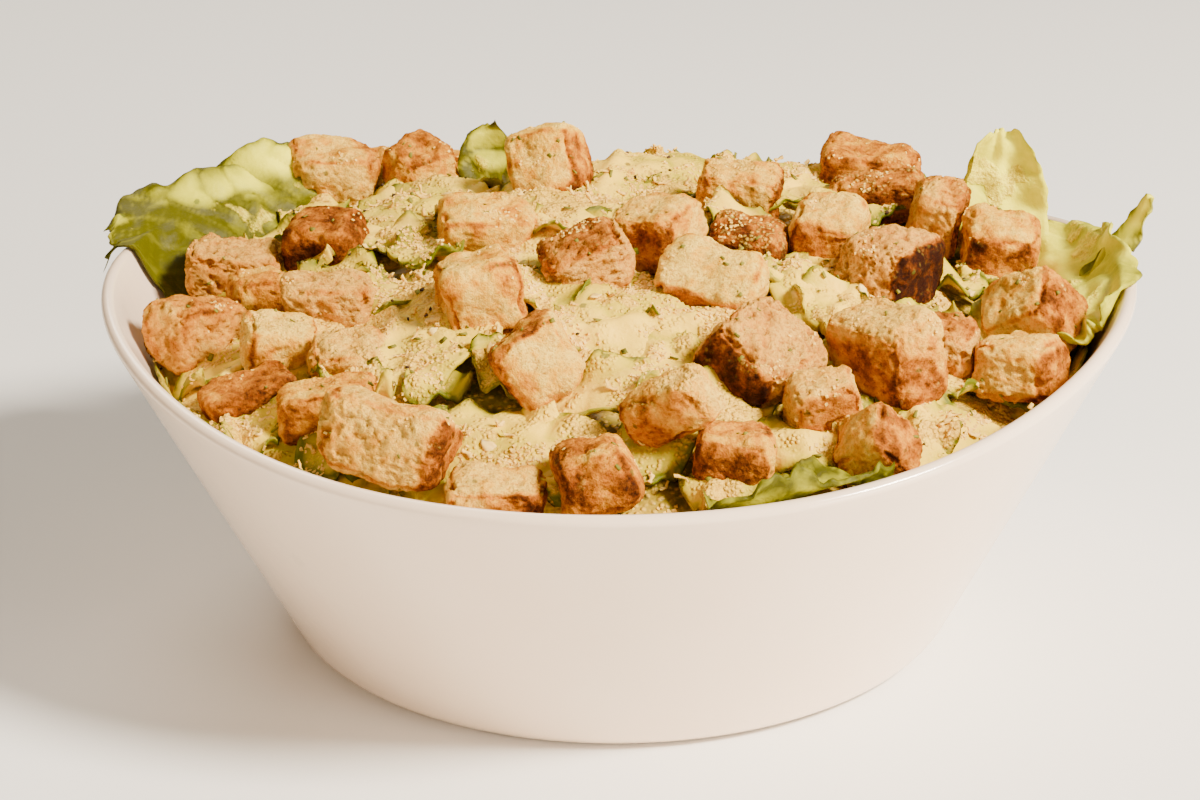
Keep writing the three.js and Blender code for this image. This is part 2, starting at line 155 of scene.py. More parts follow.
def noise(points, size, seed=0):
    """Smooth noise from -1 to 1, with lumps about size across."""
    place = points @ NOISE_TURN / size
    cell = np.floor(place)
    part = place - cell
    part = part * part * (3 - 2 * part)
    total = 0
    for corner in np.ndindex(2, 2, 2):
        weight = np.prod(np.where(corner, part, 1 - part), axis=-1)
        total = total + weight * lattice(cell + corner, seed)
    return total


def rough(points, size, seed=0):
    """Noise with two finer layers on top."""
    finer = 0.5 * noise(points, size / 2, seed + 1) + 0.25 * noise(points, size / 4, seed + 2)
    return noise(points, size, seed) + finer


def ease(low, high, value):
    """0 below low, 1 above high, and a smooth rise between them."""
    share = np.clip((value - low) / (high - low), 0, 1)
    return share * share * (3 - 2 * share)


# ---------- meshes ----------


def placed(name, data):
    """An object in the scene."""
    made = bpy.data.objects.new(name, data)
    bpy.context.scene.collection.objects.link(made)
    return made


def piece(name, points, faces, values=None, finish=None):
    """A smooth mesh object from points in millimetres, with named values at its points and a finish."""
    mesh = bpy.data.meshes.new(name)
    if isinstance(faces, np.ndarray):
        faces = faces.tolist()
    mesh.from_pydata((points * MM).tolist(), [], faces)
    for label, numbers in (values or {}).items():
        kind, field = ("FLOAT_VECTOR", "vector") if numbers.ndim == 2 else ("FLOAT", "value")
        layer = mesh.attributes.new(label, kind, "POINT")
        layer.data.foreach_set(field, numbers.astype(np.float32).ravel())
    mesh.shade_smooth()
    if finish:
        mesh.materials.append(finish)
    return placed(name, mesh)


def revolve(rings, sides):
    """Points and faces of a closed shell from (radius, height) rings, whose first and last have no radius."""
    angle = np.arange(sides) * 2 * math.pi / sides
    middle = np.array(rings[1:-1])
    radius, height = (middle[:, axis, None] * np.ones(sides) for axis in (0, 1))
    body = np.stack([radius * np.cos(angle), radius * np.sin(angle), height], axis=-1)
    points = np.vstack([body.reshape(-1, 3), [[0, 0, rings[0][1]], [0, 0, rings[-1][1]]]])
    first, last = len(points) - 2, len(points) - 1
    faces = []
    count = len(middle)
    for side in range(sides):
        after = (side + 1) % sides
        faces.append((first, after, side))
        for ring in range(count - 1):
            low, high = ring * sides, (ring + 1) * sides
            faces.append((low + side, low + after, high + after, high + side))
        top = (count - 1) * sides
        faces.append((top + side, top + after, last))
    return points, faces


def joined(parts):
    """One set of points, faces and values from several."""
    starts = np.cumsum([0] + [len(points) for points, _, _ in parts])
    faces = [faces + start for (_, faces, _), start in zip(parts, starts)]
    labels = parts[0][2]
    values = {label: np.concatenate([own[label] for _, _, own in parts]) for label in labels}
    return np.vstack([points for points, _, _ in parts]), np.vstack(faces), values


def finish_piece(made, slot, *nodes):
    """Ties a finished piece to the frame."""
    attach(made, BODY)
    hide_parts(*nodes)


# ---------- node trees ----------

SOCKET_TYPES = {bool: "Bool", int: "Int", float: "Float", tuple: "Vector"}


def feed(socket, value):
    """Gives an input its value: plain, a socket, or a node, which stands for its first output."""
    if isinstance(value, bpy.types.Node):
        value = value.outputs[0]
    if isinstance(value, bpy.types.NodeSocket):
        socket.id_data.links.new(value, socket)
    else:
        socket.default_value = value


def add(kind, values=(), tree=None, **settings):
    """A node with its settings and its inputs' values, in the tree of what is linked to it."""
    values = dict(values)
    linked = [value for value in values.values() if isinstance(value, (bpy.types.Node, bpy.types.NodeSocket))]
    made = (tree or linked[0].id_data).nodes.new(kind)
    for name, value in settings.items():
        setattr(made, name, value)
    for key, value in values.items():
        feed(made.inputs[key], value)
    return made


def maths(operation, *values):
    """The result of one sum; each value is a number or a socket."""
    return add("ShaderNodeMath", enumerate(values), operation=operation).outputs[0]


def times(*values):
    return maths("MULTIPLY", *values)


def swing(texture, amount, start):
    """Start, raised and lowered by a texture that runs from 0 to 1."""
    return maths("MULTIPLY_ADD", maths("SUBTRACT", texture, 0.5), amount, start)


def vector_maths(operation, *values, **scale):
    """The result of one sum with vectors; SCALE takes its Scale by name."""
    inputs = dict(enumerate(values), **scale)
    return add("ShaderNodeVectorMath", inputs, operation=operation).outputs[0]


def axes(vector):
    """A vector's X, Y and Z."""
    return add("ShaderNodeSeparateXYZ", {0: vector}).outputs


def clouds(place, scale, detail, roughness=0.5, output=0):
    """Soft random patches from 0 to 1, or three such numbers as Color."""
    inputs = {"Vector": place, "Scale": scale, "Detail": detail, "Roughness": roughness}
    return add("ShaderNodeTexNoise", inputs).outputs[output]


def pebbles(place, scale):
    """Cells packed like pebbles: Distance from each one's middle, and a Color of its own."""
    return add("ShaderNodeTexVoronoi", {"Vector": place, "Scale": scale}).outputs


def remap(value, low, high, start=0.0, end=1.0):
    """Value's place between low and high, eased, from start to end."""
    inputs = {"Value": value, "From Min": low, "From Max": high, "To Min": start, "To Max": end}
    return add("ShaderNodeMapRange", inputs, interpolation_type="SMOOTHSTEP").outputs[0]


def group_tree(name, kind, inputs, outputs):
    """An empty node group; an input is given as its plain value, or as the name of its type."""
    tree = bpy.data.node_groups.new(name, kind)
    for label, value in inputs.items():
        typed = isinstance(value, str)
        socket = "NodeSocket" + (value if typed else SOCKET_TYPES[type(value)])
        made = tree.interface.new_socket(label, in_out="INPUT", socket_type=socket)
        if not typed:
            made.default_value = value
    for label, socket in outputs.items():
        tree.interface.new_socket(label, in_out="OUTPUT", socket_type="NodeSocket" + socket)
    return tree, tree.nodes.new("NodeGroupInput").outputs, tree.nodes.new("NodeGroupOutput").inputs


def settle(made, tree, values):
    """Runs a node tree on a piece and keeps the result as its plain mesh."""
    modifier = made.modifiers.new(tree.name, "NODES")
    modifier.node_group = tree
    for item in tree.interface.items_tree:
        if item.in_out == "INPUT" and item.name in values:
            modifier[item.identifier] = values[item.name]
    graph = bpy.context.evaluated_depsgraph_get()
    mesh = bpy.data.meshes.new_from_object(made.evaluated_get(graph), depsgraph=graph)
    made.modifiers.remove(modifier)
    made.data = mesh


def colour(code):
    """A screen colour such as 'f4e6c8' as the linear colour that shaders use."""
    parts = [int(code[i : i + 2], 16) / 255 for i in (0, 2, 4)]
    return tuple((c / 12.92 if c < 0.04045 else ((c + 0.055) / 1.055) ** 2.4) for c in parts) + (1.0,)


def ramp(value, *stops):
    """A run of colours along value, from (place, colour code) stops."""
    made = add("ShaderNodeValToRGB", {"Fac": value})
    elements = made.color_ramp.elements
    while len(elements) < len(stops):
        elements.new(0.5)
    for element, (place, code) in zip(elements, stops):
        element.position = place
        element.color = colour(code)
    return made.outputs[0]


def blend(share, under, over, amount=1.0, mode="MIX"):
    """Two colours mixed by share times amount; each is a colour code or a socket."""
    if amount != 1:
        share = times(share, amount)
    inputs = {0: share, 6: under, 7: over}
    coloured = {key: colour(value) if isinstance(value, str) else value for key, value in inputs.items()}
    return add("ShaderNodeMix", coloured, data_type="RGBA", blend_type=mode).outputs[2]


def value_of(place, name):
    """A named value kept at the mesh's points, for the material that place is in."""
    return add("ShaderNodeAttribute", tree=place.id_data, attribute_name=name).outputs["Fac"]


def material(name):
    """An empty material, its shader and the place on the piece."""
    made = bpy.data.materials.new(name)
    made.use_nodes = True
    nodes = made.node_tree.nodes
    return made, nodes["Principled BSDF"], nodes.new("ShaderNodeTexCoord").outputs["Object"]


def shade(shader, base, roughness, height=None, depth=0.0002, strength=1.0, **plain):
    """Joins a colour, a roughness and a relief to a shader, and sets its plain numbers."""
    if height is not None:
        bump = add("ShaderNodeBump", {"Height": height, "Distance": depth, "Strength": strength})
        feed(shader.inputs["Normal"], bump)
    for label, value in {"Base Color": base, "Roughness": roughness, **plain}.items():
        feed(shader.inputs[label.replace("_", " ")], value)


# ---------- shared effects ----------


def grated_dust():
    """Where fine grated cheese clings: grains on what faces up."""
    inputs = {"Place": "Vector", "Grain Size": 0.0008, "Cover": 0.5}
    tree, given, wanted = group_tree("grated dust", "ShaderNodeTree", inputs, {"Mask": "Float"})
    grains = pebbles(given["Place"], maths("DIVIDE", 1.0, given["Grain Size"]))
    patches = clouds(given["Place"], 190.0, 3.0, 0.6)
    normal = tree.nodes.new("ShaderNodeNewGeometry").outputs["Normal"]
    upward = remap(axes(normal)["Z"], -0.1, 0.7)
    spread = maths("ADD", patches, maths("SUBTRACT", given["Cover"], 0.5))
    amount = times(remap(spread, 0.4, 0.66), upward)
    mask = times(amount, remap(grains["Distance"], 0.62, 0.18))
    tree.links.new(mask, wanted["Mask"])
    return tree


def fine_flecks():
    """Sparse dark specks of herb and pepper."""
    inputs = {"Place": "Vector", "Spacing": 0.003, "Share": 0.3}
    outputs = {"Mask": "Float", "Kind": "Float"}
    tree, given, wanted = group_tree("fine flecks", "ShaderNodeTree", inputs, outputs)
    wobble = clouds(given["Place"], 900.0, 2.0, output="Color")
    shift = vector_maths("MULTIPLY", wobble, (0.0012, 0.0012, 0.0012))
    place = vector_maths("ADD", given["Place"], shift)
    specks = pebbles(place, maths("DIVIDE", 1.0, given["Spacing"]))
    kinds = axes(specks["Color"])
    near = remap(specks["Distance"], 0.2, 0.11)
    chosen = maths("LESS_THAN", kinds["X"], given["Share"])
    tree.links.new(times(near, chosen), wanted["Mask"])
    tree.links.new(kinds["Y"], wanted["Kind"])
    return tree


DUST = grated_dust()
FLECKS = fine_flecks()


def use(group, **values):
    """A shared effect placed in a material with its own values."""
    inputs = {label.replace("_", " "): value for label, value in values.items()}
    return add("ShaderNodeGroup", inputs, node_tree=group).outputs


def flecked(place, under, herb, pepper, spacing, share, amount):
    """A colour with specks of herb and pepper over it."""
    flecks = use(FLECKS, Place=place, Spacing=spacing, Share=share)
    return blend(flecks["Mask"], under, blend(flecks["Kind"], herb, pepper), amount)


# ---------- finishes ----------

TOASTING = [  # pale crumb, golden, brown, burnt
    (0.0, "fdd658"), (0.18, "f8bc2a"), (0.33, "e49a10"), (0.47, "c07408"), (0.62, "945005"), (0.78, "623004"),
    (1.0, "2e1204"),
]
DEPTHS = [  # shadowed leaf, lit leaf, dressing
    (0.35, "2a2303"), (0.52, "5a4e08"), (0.66, "947e14"), (0.8, "cda832"), (0.95, "f0c252"),
]


def glaze():
    made, shader, place = material("white glaze")
    cloud = clouds(place, 22.0, 4.0)
    dimple = clouds(place, 260.0, 2.0)
    specks = use(FLECKS, Place=place, Spacing=0.011, Share=0.12)
    body = ramp(cloud, (0.3, "f3d9bc"), (0.7, "f7e0c6"))
    speckled = blend(specks["Mask"], body, "b9a88c", 0.12)
    bare_foot = remap(axes(place)["Z"], 0.0006, 0.0002)
    base = blend(bare_foot, speckled, "d9cdb8")
    roughness = maths("ADD", remap(cloud, 0.3, 0.7, 0.16, 0.26), times(bare_foot, 0.5))
    shade(shader, base, roughness, dimple, 0.00006, Coat_Weight=0.35, Coat_Roughness=0.08, IOR=1.5)
    return made


def toasted_bread():
    """Crumb and crust: from cream to dark brown by how toasted the mesh says each point is, with painted
    light on tops and painted shade in the pores and in the hollows of the grain.
    """
    made, shader, place = material("toasted bread")
    pit = value_of(place, "pit")
    blotch = clouds(place, 330.0, 5.0, 0.62)
    grain = clouds(place, 1500.0, 4.0, 0.7)
    raised = maths("MULTIPLY_ADD", value_of(place, "grit"), 0.3, value_of(place, "toast"))
    speckled = swing(grain, 0.9, swing(blotch, 1.2, raised))
    done = maths("MULTIPLY_ADD", pit, -0.12, speckled)
    browned_and_top_lit = ramp(done, *TOASTING)
    pale = times(value_of(place, "tone"), remap(done, 0.62, 0.2))
    tinted = blend(pale, browned_and_top_lit, "d9983e", 0.75)
    shadowed = blend(pit, tinted, "b0762c", 0.45, "MULTIPLY")
    # painted shade: darker in the low spots of the grain noise that also makes the bump
    grain_shaded = blend(remap(grain, 0.54, 0.38), shadowed, "c8923a", 0.6, "MULTIPLY")
    herbed = flecked(place, grain_shaded, "4f5a1c", "6b3c17", 0.0034, 0.16, 0.75)
    dust = use(DUST, Place=place, Grain_Size=0.0009, Cover=value_of(place, "dusted"))["Mask"]
    base = blend(dust, herbed, "f9cb50", 0.6)
    height = maths("ADD", grain, times(dust, 0.7))
    roughness = remap(blotch, 0.35, 0.65, 0.6, 0.85)
    shade(shader, base, roughness, height, depth=0.0007, Specular_IOR_Level=0.1)
    return made


def romaine(name, heart, middle, margin, dressing, cheesy):
    """Leaf: pale heart and rib, greener towards its margin, with dressing and cheese on it; its green also
    carries painted shade, and the dressing is painted darker between its curds.
    """
    made, shader, place = material(name)
    cream = value_of(place, "cream")
    patch = clouds(place, 150.0, 5.0, 0.6)
    fibre = clouds(place, 1200.0, 3.0)
    sweep = clouds(place, 48.0, 2.0)
    smear = clouds(place, 420.0, 4.0, 0.65)
    curds = clouds(place, 850.0, 4.0, 0.75)
    green_and_shade = swing(patch, 0.7, swing(sweep, 1.2, value_of(place, "green")))
    blade = ramp(green_and_shade, (0.05, heart), (0.45, middle), (0.95, margin))
    veined = blend(value_of(place, "vein"), blade, heart, 0.45)
    film = remap(swing(smear, 1.5, cream), 0.4, 0.85)
    # painted shade: the dressing is darker in the hollows between the curds that also make its bump
    shaded_dressing = blend(remap(curds, 0.56, 0.4), dressing, "a88a2c", 0.7, "MULTIPLY")
    coated = blend(film, veined, shaded_dressing, 0.8)
    cover = maths("MULTIPLY_ADD", cream, 0.3, cheesy)
    dust = use(DUST, Place=place, Grain_Size=0.0009, Cover=cover)["Mask"]
    dusted = blend(dust, coated, dressing, 0.6)
    base = flecked(place, dusted, "4c5d22", "4a3420", 0.0045, 0.2, 0.7)
    lumpy = times(times(film, curds), 1.4)
    textured = maths("ADD", times(fibre, 0.35), dust)
    height = maths("ADD", textured, lumpy)
    shade(
        shader, base, remap(film, 0.0, 1.0, 0.5, 0.4), height, depth=0.0005, strength=0.9,
        Subsurface_Weight=0.08, Subsurface_Radius=(1.0, 0.9, 0.2), Subsurface_Scale=0.0015,
        Specular_IOR_Level=0.12,
    )
    return made


def packed_salad():
    """The salad deep in the gaps: shadowed leaves, dressing and cheese."""
    made, shader, place = material("packed salad")
    patch = clouds(place, 95.0, 6.0, 0.65)
    torn = pebbles(place, 140.0)["Distance"]
    leafy = ramp(maths("MULTIPLY_ADD", torn, 0.35, patch), *DEPTHS)
    dust = use(DUST, Place=place, Grain_Size=0.0011, Cover=0.56)["Mask"]
    dusted = blend(dust, leafy, "f0c252", 0.7)
    base = flecked(place, dusted, "3f3d1a", "3f3d1a", 0.004, 0.25, 0.7)
    height = maths("ADD", patch, dust)
    shade(shader, base, 0.42, height, depth=0.0005, strength=0.8, Specular_IOR_Level=0.2)
    return made


def plain_food(name, dark, light, roughness, subsurface, scale=900.0):
    """A small topping: one colour that wanders a little, with a grain."""
    made, shader, place = material(name)
    base = ramp(clouds(place, 260.0, 4.0), (0.32, dark), (0.68, light))
    shade(
        shader, base, roughness, clouds(place, scale, 3.0), depth=0.00015,
        Subsurface_Weight=subsurface, Subsurface_Radius=(1.0, 0.7, 0.4), Subsurface_Scale=0.001,
        Specular_IOR_Level=0.2,
    )
    return made


GLAZE = glaze()
BREAD = toasted_bread()
HEART_LEAF = romaine("pale romaine", "fad03e", "ccb416", "5e6404", "fbc84a", 0.46)
RIM_LEAF = romaine("green romaine", "f8f030", "c6c218", "4c4a04", "f8e444", 0.27)
PACKED = packed_salad()
CHEESE = plain_food("grated cheese", "eab848", "f9d068", 0.55, 0.1)
CREAM = plain_food("creamy dressing", "f0c45c", "fad880", 0.28, 0.15, 300.0)
HERB = plain_food("dried herb", "5c5a14", "8c8428", 0.75, 0.0)
PEPPER = plain_food("ground pepper", "2a2018", "5e4630", 0.8, 0.0)

# ---------- the bowl ----------


def rim_lift(angle):
    """How far the rim stands above its mean height."""
    return RIM_WAVE * np.cos(2 * angle) + RIM_RIPPLE * (np.cos(4 * angle) - 1)


def inner_radius(height):
    return foot_radius - WALL * wall_slant + WALL_SPREAD * height


def arc(centre, radius, start, end, steps):
    """Points along a round corner."""
    turns = [start + (end - start) * i / steps for i in range(steps + 1)]
    return [(centre[0] + radius * math.cos(turn), centre[1] + radius * math.sin(turn)) for turn in turns]


def rounded_corner(wall_foot, floor_height, radius, steps):
    """From a level floor up into a leaning wall that would reach the ground at wall_foot."""
    across = wall_foot + WALL_SPREAD * (floor_height + radius) - wall_slant * radius
    return arc((across, floor_height + radius), radius, -math.pi / 2, -wall_lean, steps)


def stretch(start, end, steps):
    """Points between two places, without the two."""
    return [tuple(a + (b - a) * i / steps for a, b in zip(start, end)) for i in range(1, steps)]


def make_bowl():
    lip_height = RIM_HEIGHT - WALL / 2
    lip_radius = foot_radius + WALL_SPREAD * lip_height - wall_slant * WALL / 2
    lip = arc((lip_radius, lip_height), WALL / 2, -wall_lean, math.pi - wall_lean, 10)
    outer = rounded_corner(foot_radius, 0, FOOT_ROUND, 8)
    inner = rounded_corner(foot_radius - WALL * wall_slant, BASE, WELL_ROUND, 10)[::-1]
    rings = [(0, 0), *stretch((0, 0), outer[0], 5), *outer, *stretch(outer[-1], lip[0], 22), *lip]
    rings += [*stretch(lip[-1], inner[0], 22), *inner, *stretch(inner[-1], (0, BASE), 5), (0, BASE)]
    points, faces = revolve(rings, BOWL_SIDES)
    angle = np.arctan2(points[:, 1], points[:, 0])
    radius = np.hypot(points[:, 0], points[:, 1])
    lift = rim_lift(angle) * np.maximum(0, points[:, 2] - BASE) / (RIM_HEIGHT - BASE)
    widen = 1 + WALL_SPREAD * lift / np.maximum(radius, 1)
    points = np.stack([points[:, 0] * widen, points[:, 1] * widen, points[:, 2] + lift], axis=-1)
    finish_piece(piece("salad_bowl", points, faces, finish=GLAZE), "bowl", "bowl")


# ---------- the heap ----------


def edge_height(angle):
    shoulder = EDGE_SHOULDER * np.maximum(0, np.sin(angle)) * np.cos(angle) ** 2
    return EDGE_HEIGHT + EDGE_TILT * np.sin(angle) + shoulder


def heap(x, y):
    """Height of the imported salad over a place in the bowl."""
    angle = np.arctan2(y, x)
    edge = edge_height(angle)
    inward = np.maximum(0, 1 - (np.hypot(x, y) / (inner_radius(edge) - CORE_GAP)) ** 2)
    lumps = LUMP_HEIGHT * np.sin(x / LUMP_SPACING + 1) * np.cos(y / LUMP_SPACING)
    mounds = 0
    for across, back, height, reach in MOUNDS:
        mounds = mounds + height * np.exp(-((x - across) ** 2 + (y - back) ** 2) / reach**2)
    return edge + (CROWN - edge) * inward**HEAP_FULLNESS + (lumps + HEAP_LEAN * y) * inward + mounds


# ---------- croutons ----------

# Size, turns about X, Y and Z, how browned (0 cream, 1 dark brown), how pinkish its pale crumb is, which of
# its own sides is scorched (a direction before the turns) and how much, and how much cheese dust lies on it.
Crouton = namedtuple("Crouton", "size turn brown pink side scorch dust")
CROUTONS = [Crouton(*row) for row in [
    ((17, 12, 10), (8, 4, 4), 0.16, 0.3, (1, -0.6, 0), 0.5, 0.3),
    ((14, 14, 13), (-8, -16, 9), 0.42, 0.0, (0, -1, -0.4), 0.12, 0.3),
    ((14, 12, 11), (6, 3, -5), 0.32, 0.1, (0, -1, -0.3), 0.28, 0.3),
    ((24, 18, 14), (-18, 10, -15), 0.1, 0.4, (1, 0, -0.2), 0.6, 0.4),
    ((14, 13, 12), (-47, -28, -33), 0.22, 0.1, (1, 0, 0), 0.35, 0.3),
    ((17, 11, 8), (6, -8, 30), 0.56, 0.0, (0, -1, 0), 0.1, 0.3),
    ((20, 19, 13), (30, -5, 53), 0.08, 0.9, (-1, 0, -0.1), 0.72, 0.4),
    ((21, 15, 17), (8, -1, -52), 0.08, 0.4, (0.7, -0.8, -0.3), 0.44, 0.5),
    ((18, 10, 10), (17, -26, -28), 0.15, 0.3, (0, -1, -0.3), 0.18, 0.7),
    ((13, 10, 10), (10, -6, 12), 0.16, 0.5, (0, -1, -0.3), 0.34, 0.4),
    ((19, 12, 10), (4, -6, 8), 0.36, 0.0, (0, -1, 0), 0.1, 0.4),
    ((15, 18, 12), (-10, -5, -30), 0.16, 0.2, (1, 0, -0.7), 0.45, 0.3),
    ((12, 11, 13), (8, 8, -20), 0.1, 0.8, (0, 0.3, 1), 0.4, 0.3),
    ((17, 14, 15), (-54, -29, -31), 0.1, 0.1, (1, 0, 0), 0.42, 0.3),
    ((16, 14, 15), (12, 6, -2), 0.3, 0.1, (0, -1, -0.3), 0.34, 0.4),
    ((11, 12, 16), (6, 12, -10), 0.2, 0.6, (1, 0, 0.3), 0.4, 0.4),
    ((17, 22, 15), (-6, 7, -32), 0.08, 1.0, (1, 0, 0), 0.9, 0.3),
    ((14, 14, 14), (14, 6, -10), 0.12, 0.1, (0, -1, -0.5), 0.36, 0.4),
    ((21, 12, 9), (8, -4, -4), 0.42, 0.4, (0, -1, 0.2), 0.15, 0.6),
    ((18, 14, 13), (4, 8, 50), 0.24, 0.6, (0.8, 0, 0.8), 0.25, 0.3),
    ((14, 12, 11), (10, 10, 20), 0.02, 0.1, (0, -1, 0), 0.05, 0.5),
    ((14, 12, 10), (10, -3, 4), 0.04, 0.5, (0, -1, 0), 0.05, 0.6),
    ((17, 13, 11), (6, 2, 8), 0.1, 0.8, (-1, 0, 0), 0.15, 0.4),
    ((12, 11, 10), (8, 0, 20), 0.46, 0.1, (1, 0, 0), 0.15, 0.3),
    ((20, 14, 11), (6, 8, 6), 0.16, 0.9, (0, -1, -0.5), 0.15, 0.3),
    ((16, 14, 12), (10, -8, -14), 0.72, 0.0, (-1, 0, 0), 0.1, 0.2),
    ((15, 15, 14), (-10, -32, 15), 0.08, 0.0, (-0.6, 0, 0.8), 0.5, 0.3),
    ((16, 15, 16), (-1, -9, 18), 0.22, 0.0, (0, -0.4, -1), 0.25, 0.3),
    ((17, 14, 12), (13, -25, 8), 0.1, 0.9, (-0.2, 0, 1), 0.45, 0.3),
    ((20, 14, 11), (37, 6, -19), 0.02, 0.0, (0, -1, -0.3), 0.5, 0.3),
    ((16, 12, 10), (8, 8, -10), 0.64, 0.1, (-1, 0, 0), 0.15, 0.7),
    ((15, 16, 13), (4, -5, -28), 0.2, 0.2, (0, -1, -0.2), 0.36, 0.3),
    ((19, 14, 11), (14, 4, 8), 0.16, 0.0, (0, 0, 1), 0.1, 0.4),
    ((17, 14, 12), (8, 8, -6), 0.24, 0.2, (1, 0, 0), 0.45, 0.5),
    ((16, 17, 16), (-20, -12, -5), 0.12, 0.0, (1, 0, -0.4), 0.42, 0.3),
    ((18, 15, 14), (8, 4, 12), 0.03, 0.3, (1, 0, 0.8), 0.3, 0.3),
    ((14, 13, 13), (10, -10, 40), 0.18, 0.1, (0, -0.2, 1), 0.3, 0.4),
    ((21, 16, 12), (6, 10, -6), 0.5, 0.1, (0, -1, 0), 0.12, 0.4),
    ((15, 14, 12), (6, 4, 70), 0.24, 0.3, (0, 1, 0), 0.4, 0.4),
    ((14, 12, 11), (-8, 6, 20), 0.3, 0.1, (-1, 1, 0), 0.4, 0.4),
    ((12, 11, 9), (4, -8, 50), 0.4, 0.1, (1, 1, 0), 0.3, 0.4),
    ((13, 11, 10), (8, 6, 12), 0.22, 0.5, (0, 1, 0.4), 0.5, 0.4),
    ((15, 13, 12), (-6, 10, 40), 0.36, 0.2, (1, 1, 0), 0.4, 0.4),
]]
CROUTON_PIECES = {
    "croutons_front": range(0, 8),
    "croutons_front_right": range(8, 17),
    "croutons_middle": range(17, 26),
    "croutons_crown": range(26, 35),
    "croutons_back": range(35, 43),
}


def crouton_node(number):
    return f"crouton_{number + 1:02d}"


def cube_grid(cells):
    """Points and outward faces of a 2 mm cube, with each side split into cells by cells."""
    steps = np.linspace(-1, 1, cells + 1)
    a, b = np.meshgrid(steps, steps, indexing="ij")
    row = cells + 1
    low = (np.arange(cells)[:, None] * row + np.arange(cells)).ravel()
    quads = np.stack([low, low + row, low + row + 1, low + 1], axis=-1)
    points, faces = [], []
    for axis in range(3):
        for sign in (-1, 1):
            side = np.empty((row * row, 3))
            side[:, axis] = sign
            side[:, (axis + 1) % 3] = a.ravel()
            side[:, (axis + 2) % 3] = b.ravel()
            faces.append((quads if sign > 0 else quads[:, ::-1]) + len(points) * row * row)
            points.append(side)
    points = np.vstack(points)
    _, first, where = np.unique(np.round(points * 1e6), axis=0, return_index=True, return_inverse=True)
    return points[first], where.reshape(-1)[np.vstack(faces)]


def shape_crouton(cube, number):
    """The crouton's points round its own middle, and for each how far it faces up, which way it faced before
    the turns, its place in the crumb and how near an edge it is."""
    crouton = CROUTONS[number]
    reach = (np.abs(cube) ** CROUTON_SQUARENESS).sum(axis=1) ** (1 / CROUTON_SQUARENESS)
    point = cube / reach[:, None]
    facing = np.sign(point) * np.abs(point) ** (CROUTON_SQUARENESS - 1)
    lean = [CROUTON_LEAN * sway(number * 7 + axis) for axis in (1, 2, 3)]
    half = np.array(crouton.size) / 2
    x, y, z = point.T
    leaning = np.stack([x * (1 + lean[0] * z), y * (1 + lean[1] * x), z * (1 + lean[2] * y)], axis=-1)
    stretched = leaning * half
    own = stretched + number * CRUMB_STEP
    facing = facing / half
    facing /= np.linalg.norm(facing, axis=1)[:, None]
    lumps = 0.075 * min(crouton.size) * noise(own, 8, 3) + 0.6 * noise(own, 4, 4) + 0.3 * rough(own, 2.4, 9)
    edge = ease(0.78, 1.0, np.sort(np.abs(cube), axis=1)[:, 1])
    crumbled = (0.12 + edge) * ease(0.1, 0.6, noise(own, 3.6, 5))
    shaped = stretched + facing * (lumps - crumbled)[:, None]
    turn = turned_by(*crouton.turn)
    return shaped @ turn, (facing @ turn)[:, 2], facing, own, edge


def make_crouton(number):
    """One crouton's points and faces, and how toasted, open and dusted each point is; faces that point up are
    a little paler as painted light.
    """
    crouton = CROUTONS[number]
    cube, quads = cube_grid(round(sum(crouton.size) / 3 / CROUTON_CELL))
    shaped, upward, facing, own, edge = shape_crouton(cube, number)
    low, high = CROUTON_BOXES[number]
    middle = (low + high) / 2 - (shaped.min(axis=0) + shaped.max(axis=0)) / 2
    side = np.array(crouton.side) / np.linalg.norm(crouton.side)
    scorched = crouton.scorch * ease(0.3, 0.8, facing @ side + 0.3 * noise(own, 3.4, 6))
    corner = ease(0.8, 1.0, np.sort(np.abs(cube), axis=1)[:, 0])
    rim = 0.4 * edge * ease(-0.5, 0.4, noise(own, 6, 7)) + 0.12 * corner
    browned_and_top_lit = np.maximum(crouton.brown + scorched, np.minimum(crouton.brown + scorched + rim, RIM_BROWN))
    # painted light: faces that point up are made a little less brown, as if lit from above
    browned_and_top_lit += 0.2 * rough(own, 6, 8) - 0.06 * upward
    return shaped + middle, quads, {
        "grain": own,
        "toast": np.clip(browned_and_top_lit, 0, 1),
        "tone": np.full(len(cube), crouton.pink),
        "crumb": (0.3 + 0.8 * crouton.pink) * (1 - 0.7 * ease(0.3, 0.7, scorched)),
        "dusted": np.full(len(cube), 0.25 + 0.4 * crouton.dust),
    }


def make_croutons(name, numbers):
    """Several croutons as one piece."""
    made = piece(name, *joined([make_crouton(number) for number in numbers]))
    settle(made, BREAD_RELIEF, {"Finish": BREAD})
    finish_piece(made, "crouton", *[crouton_node(number) for number in numbers])


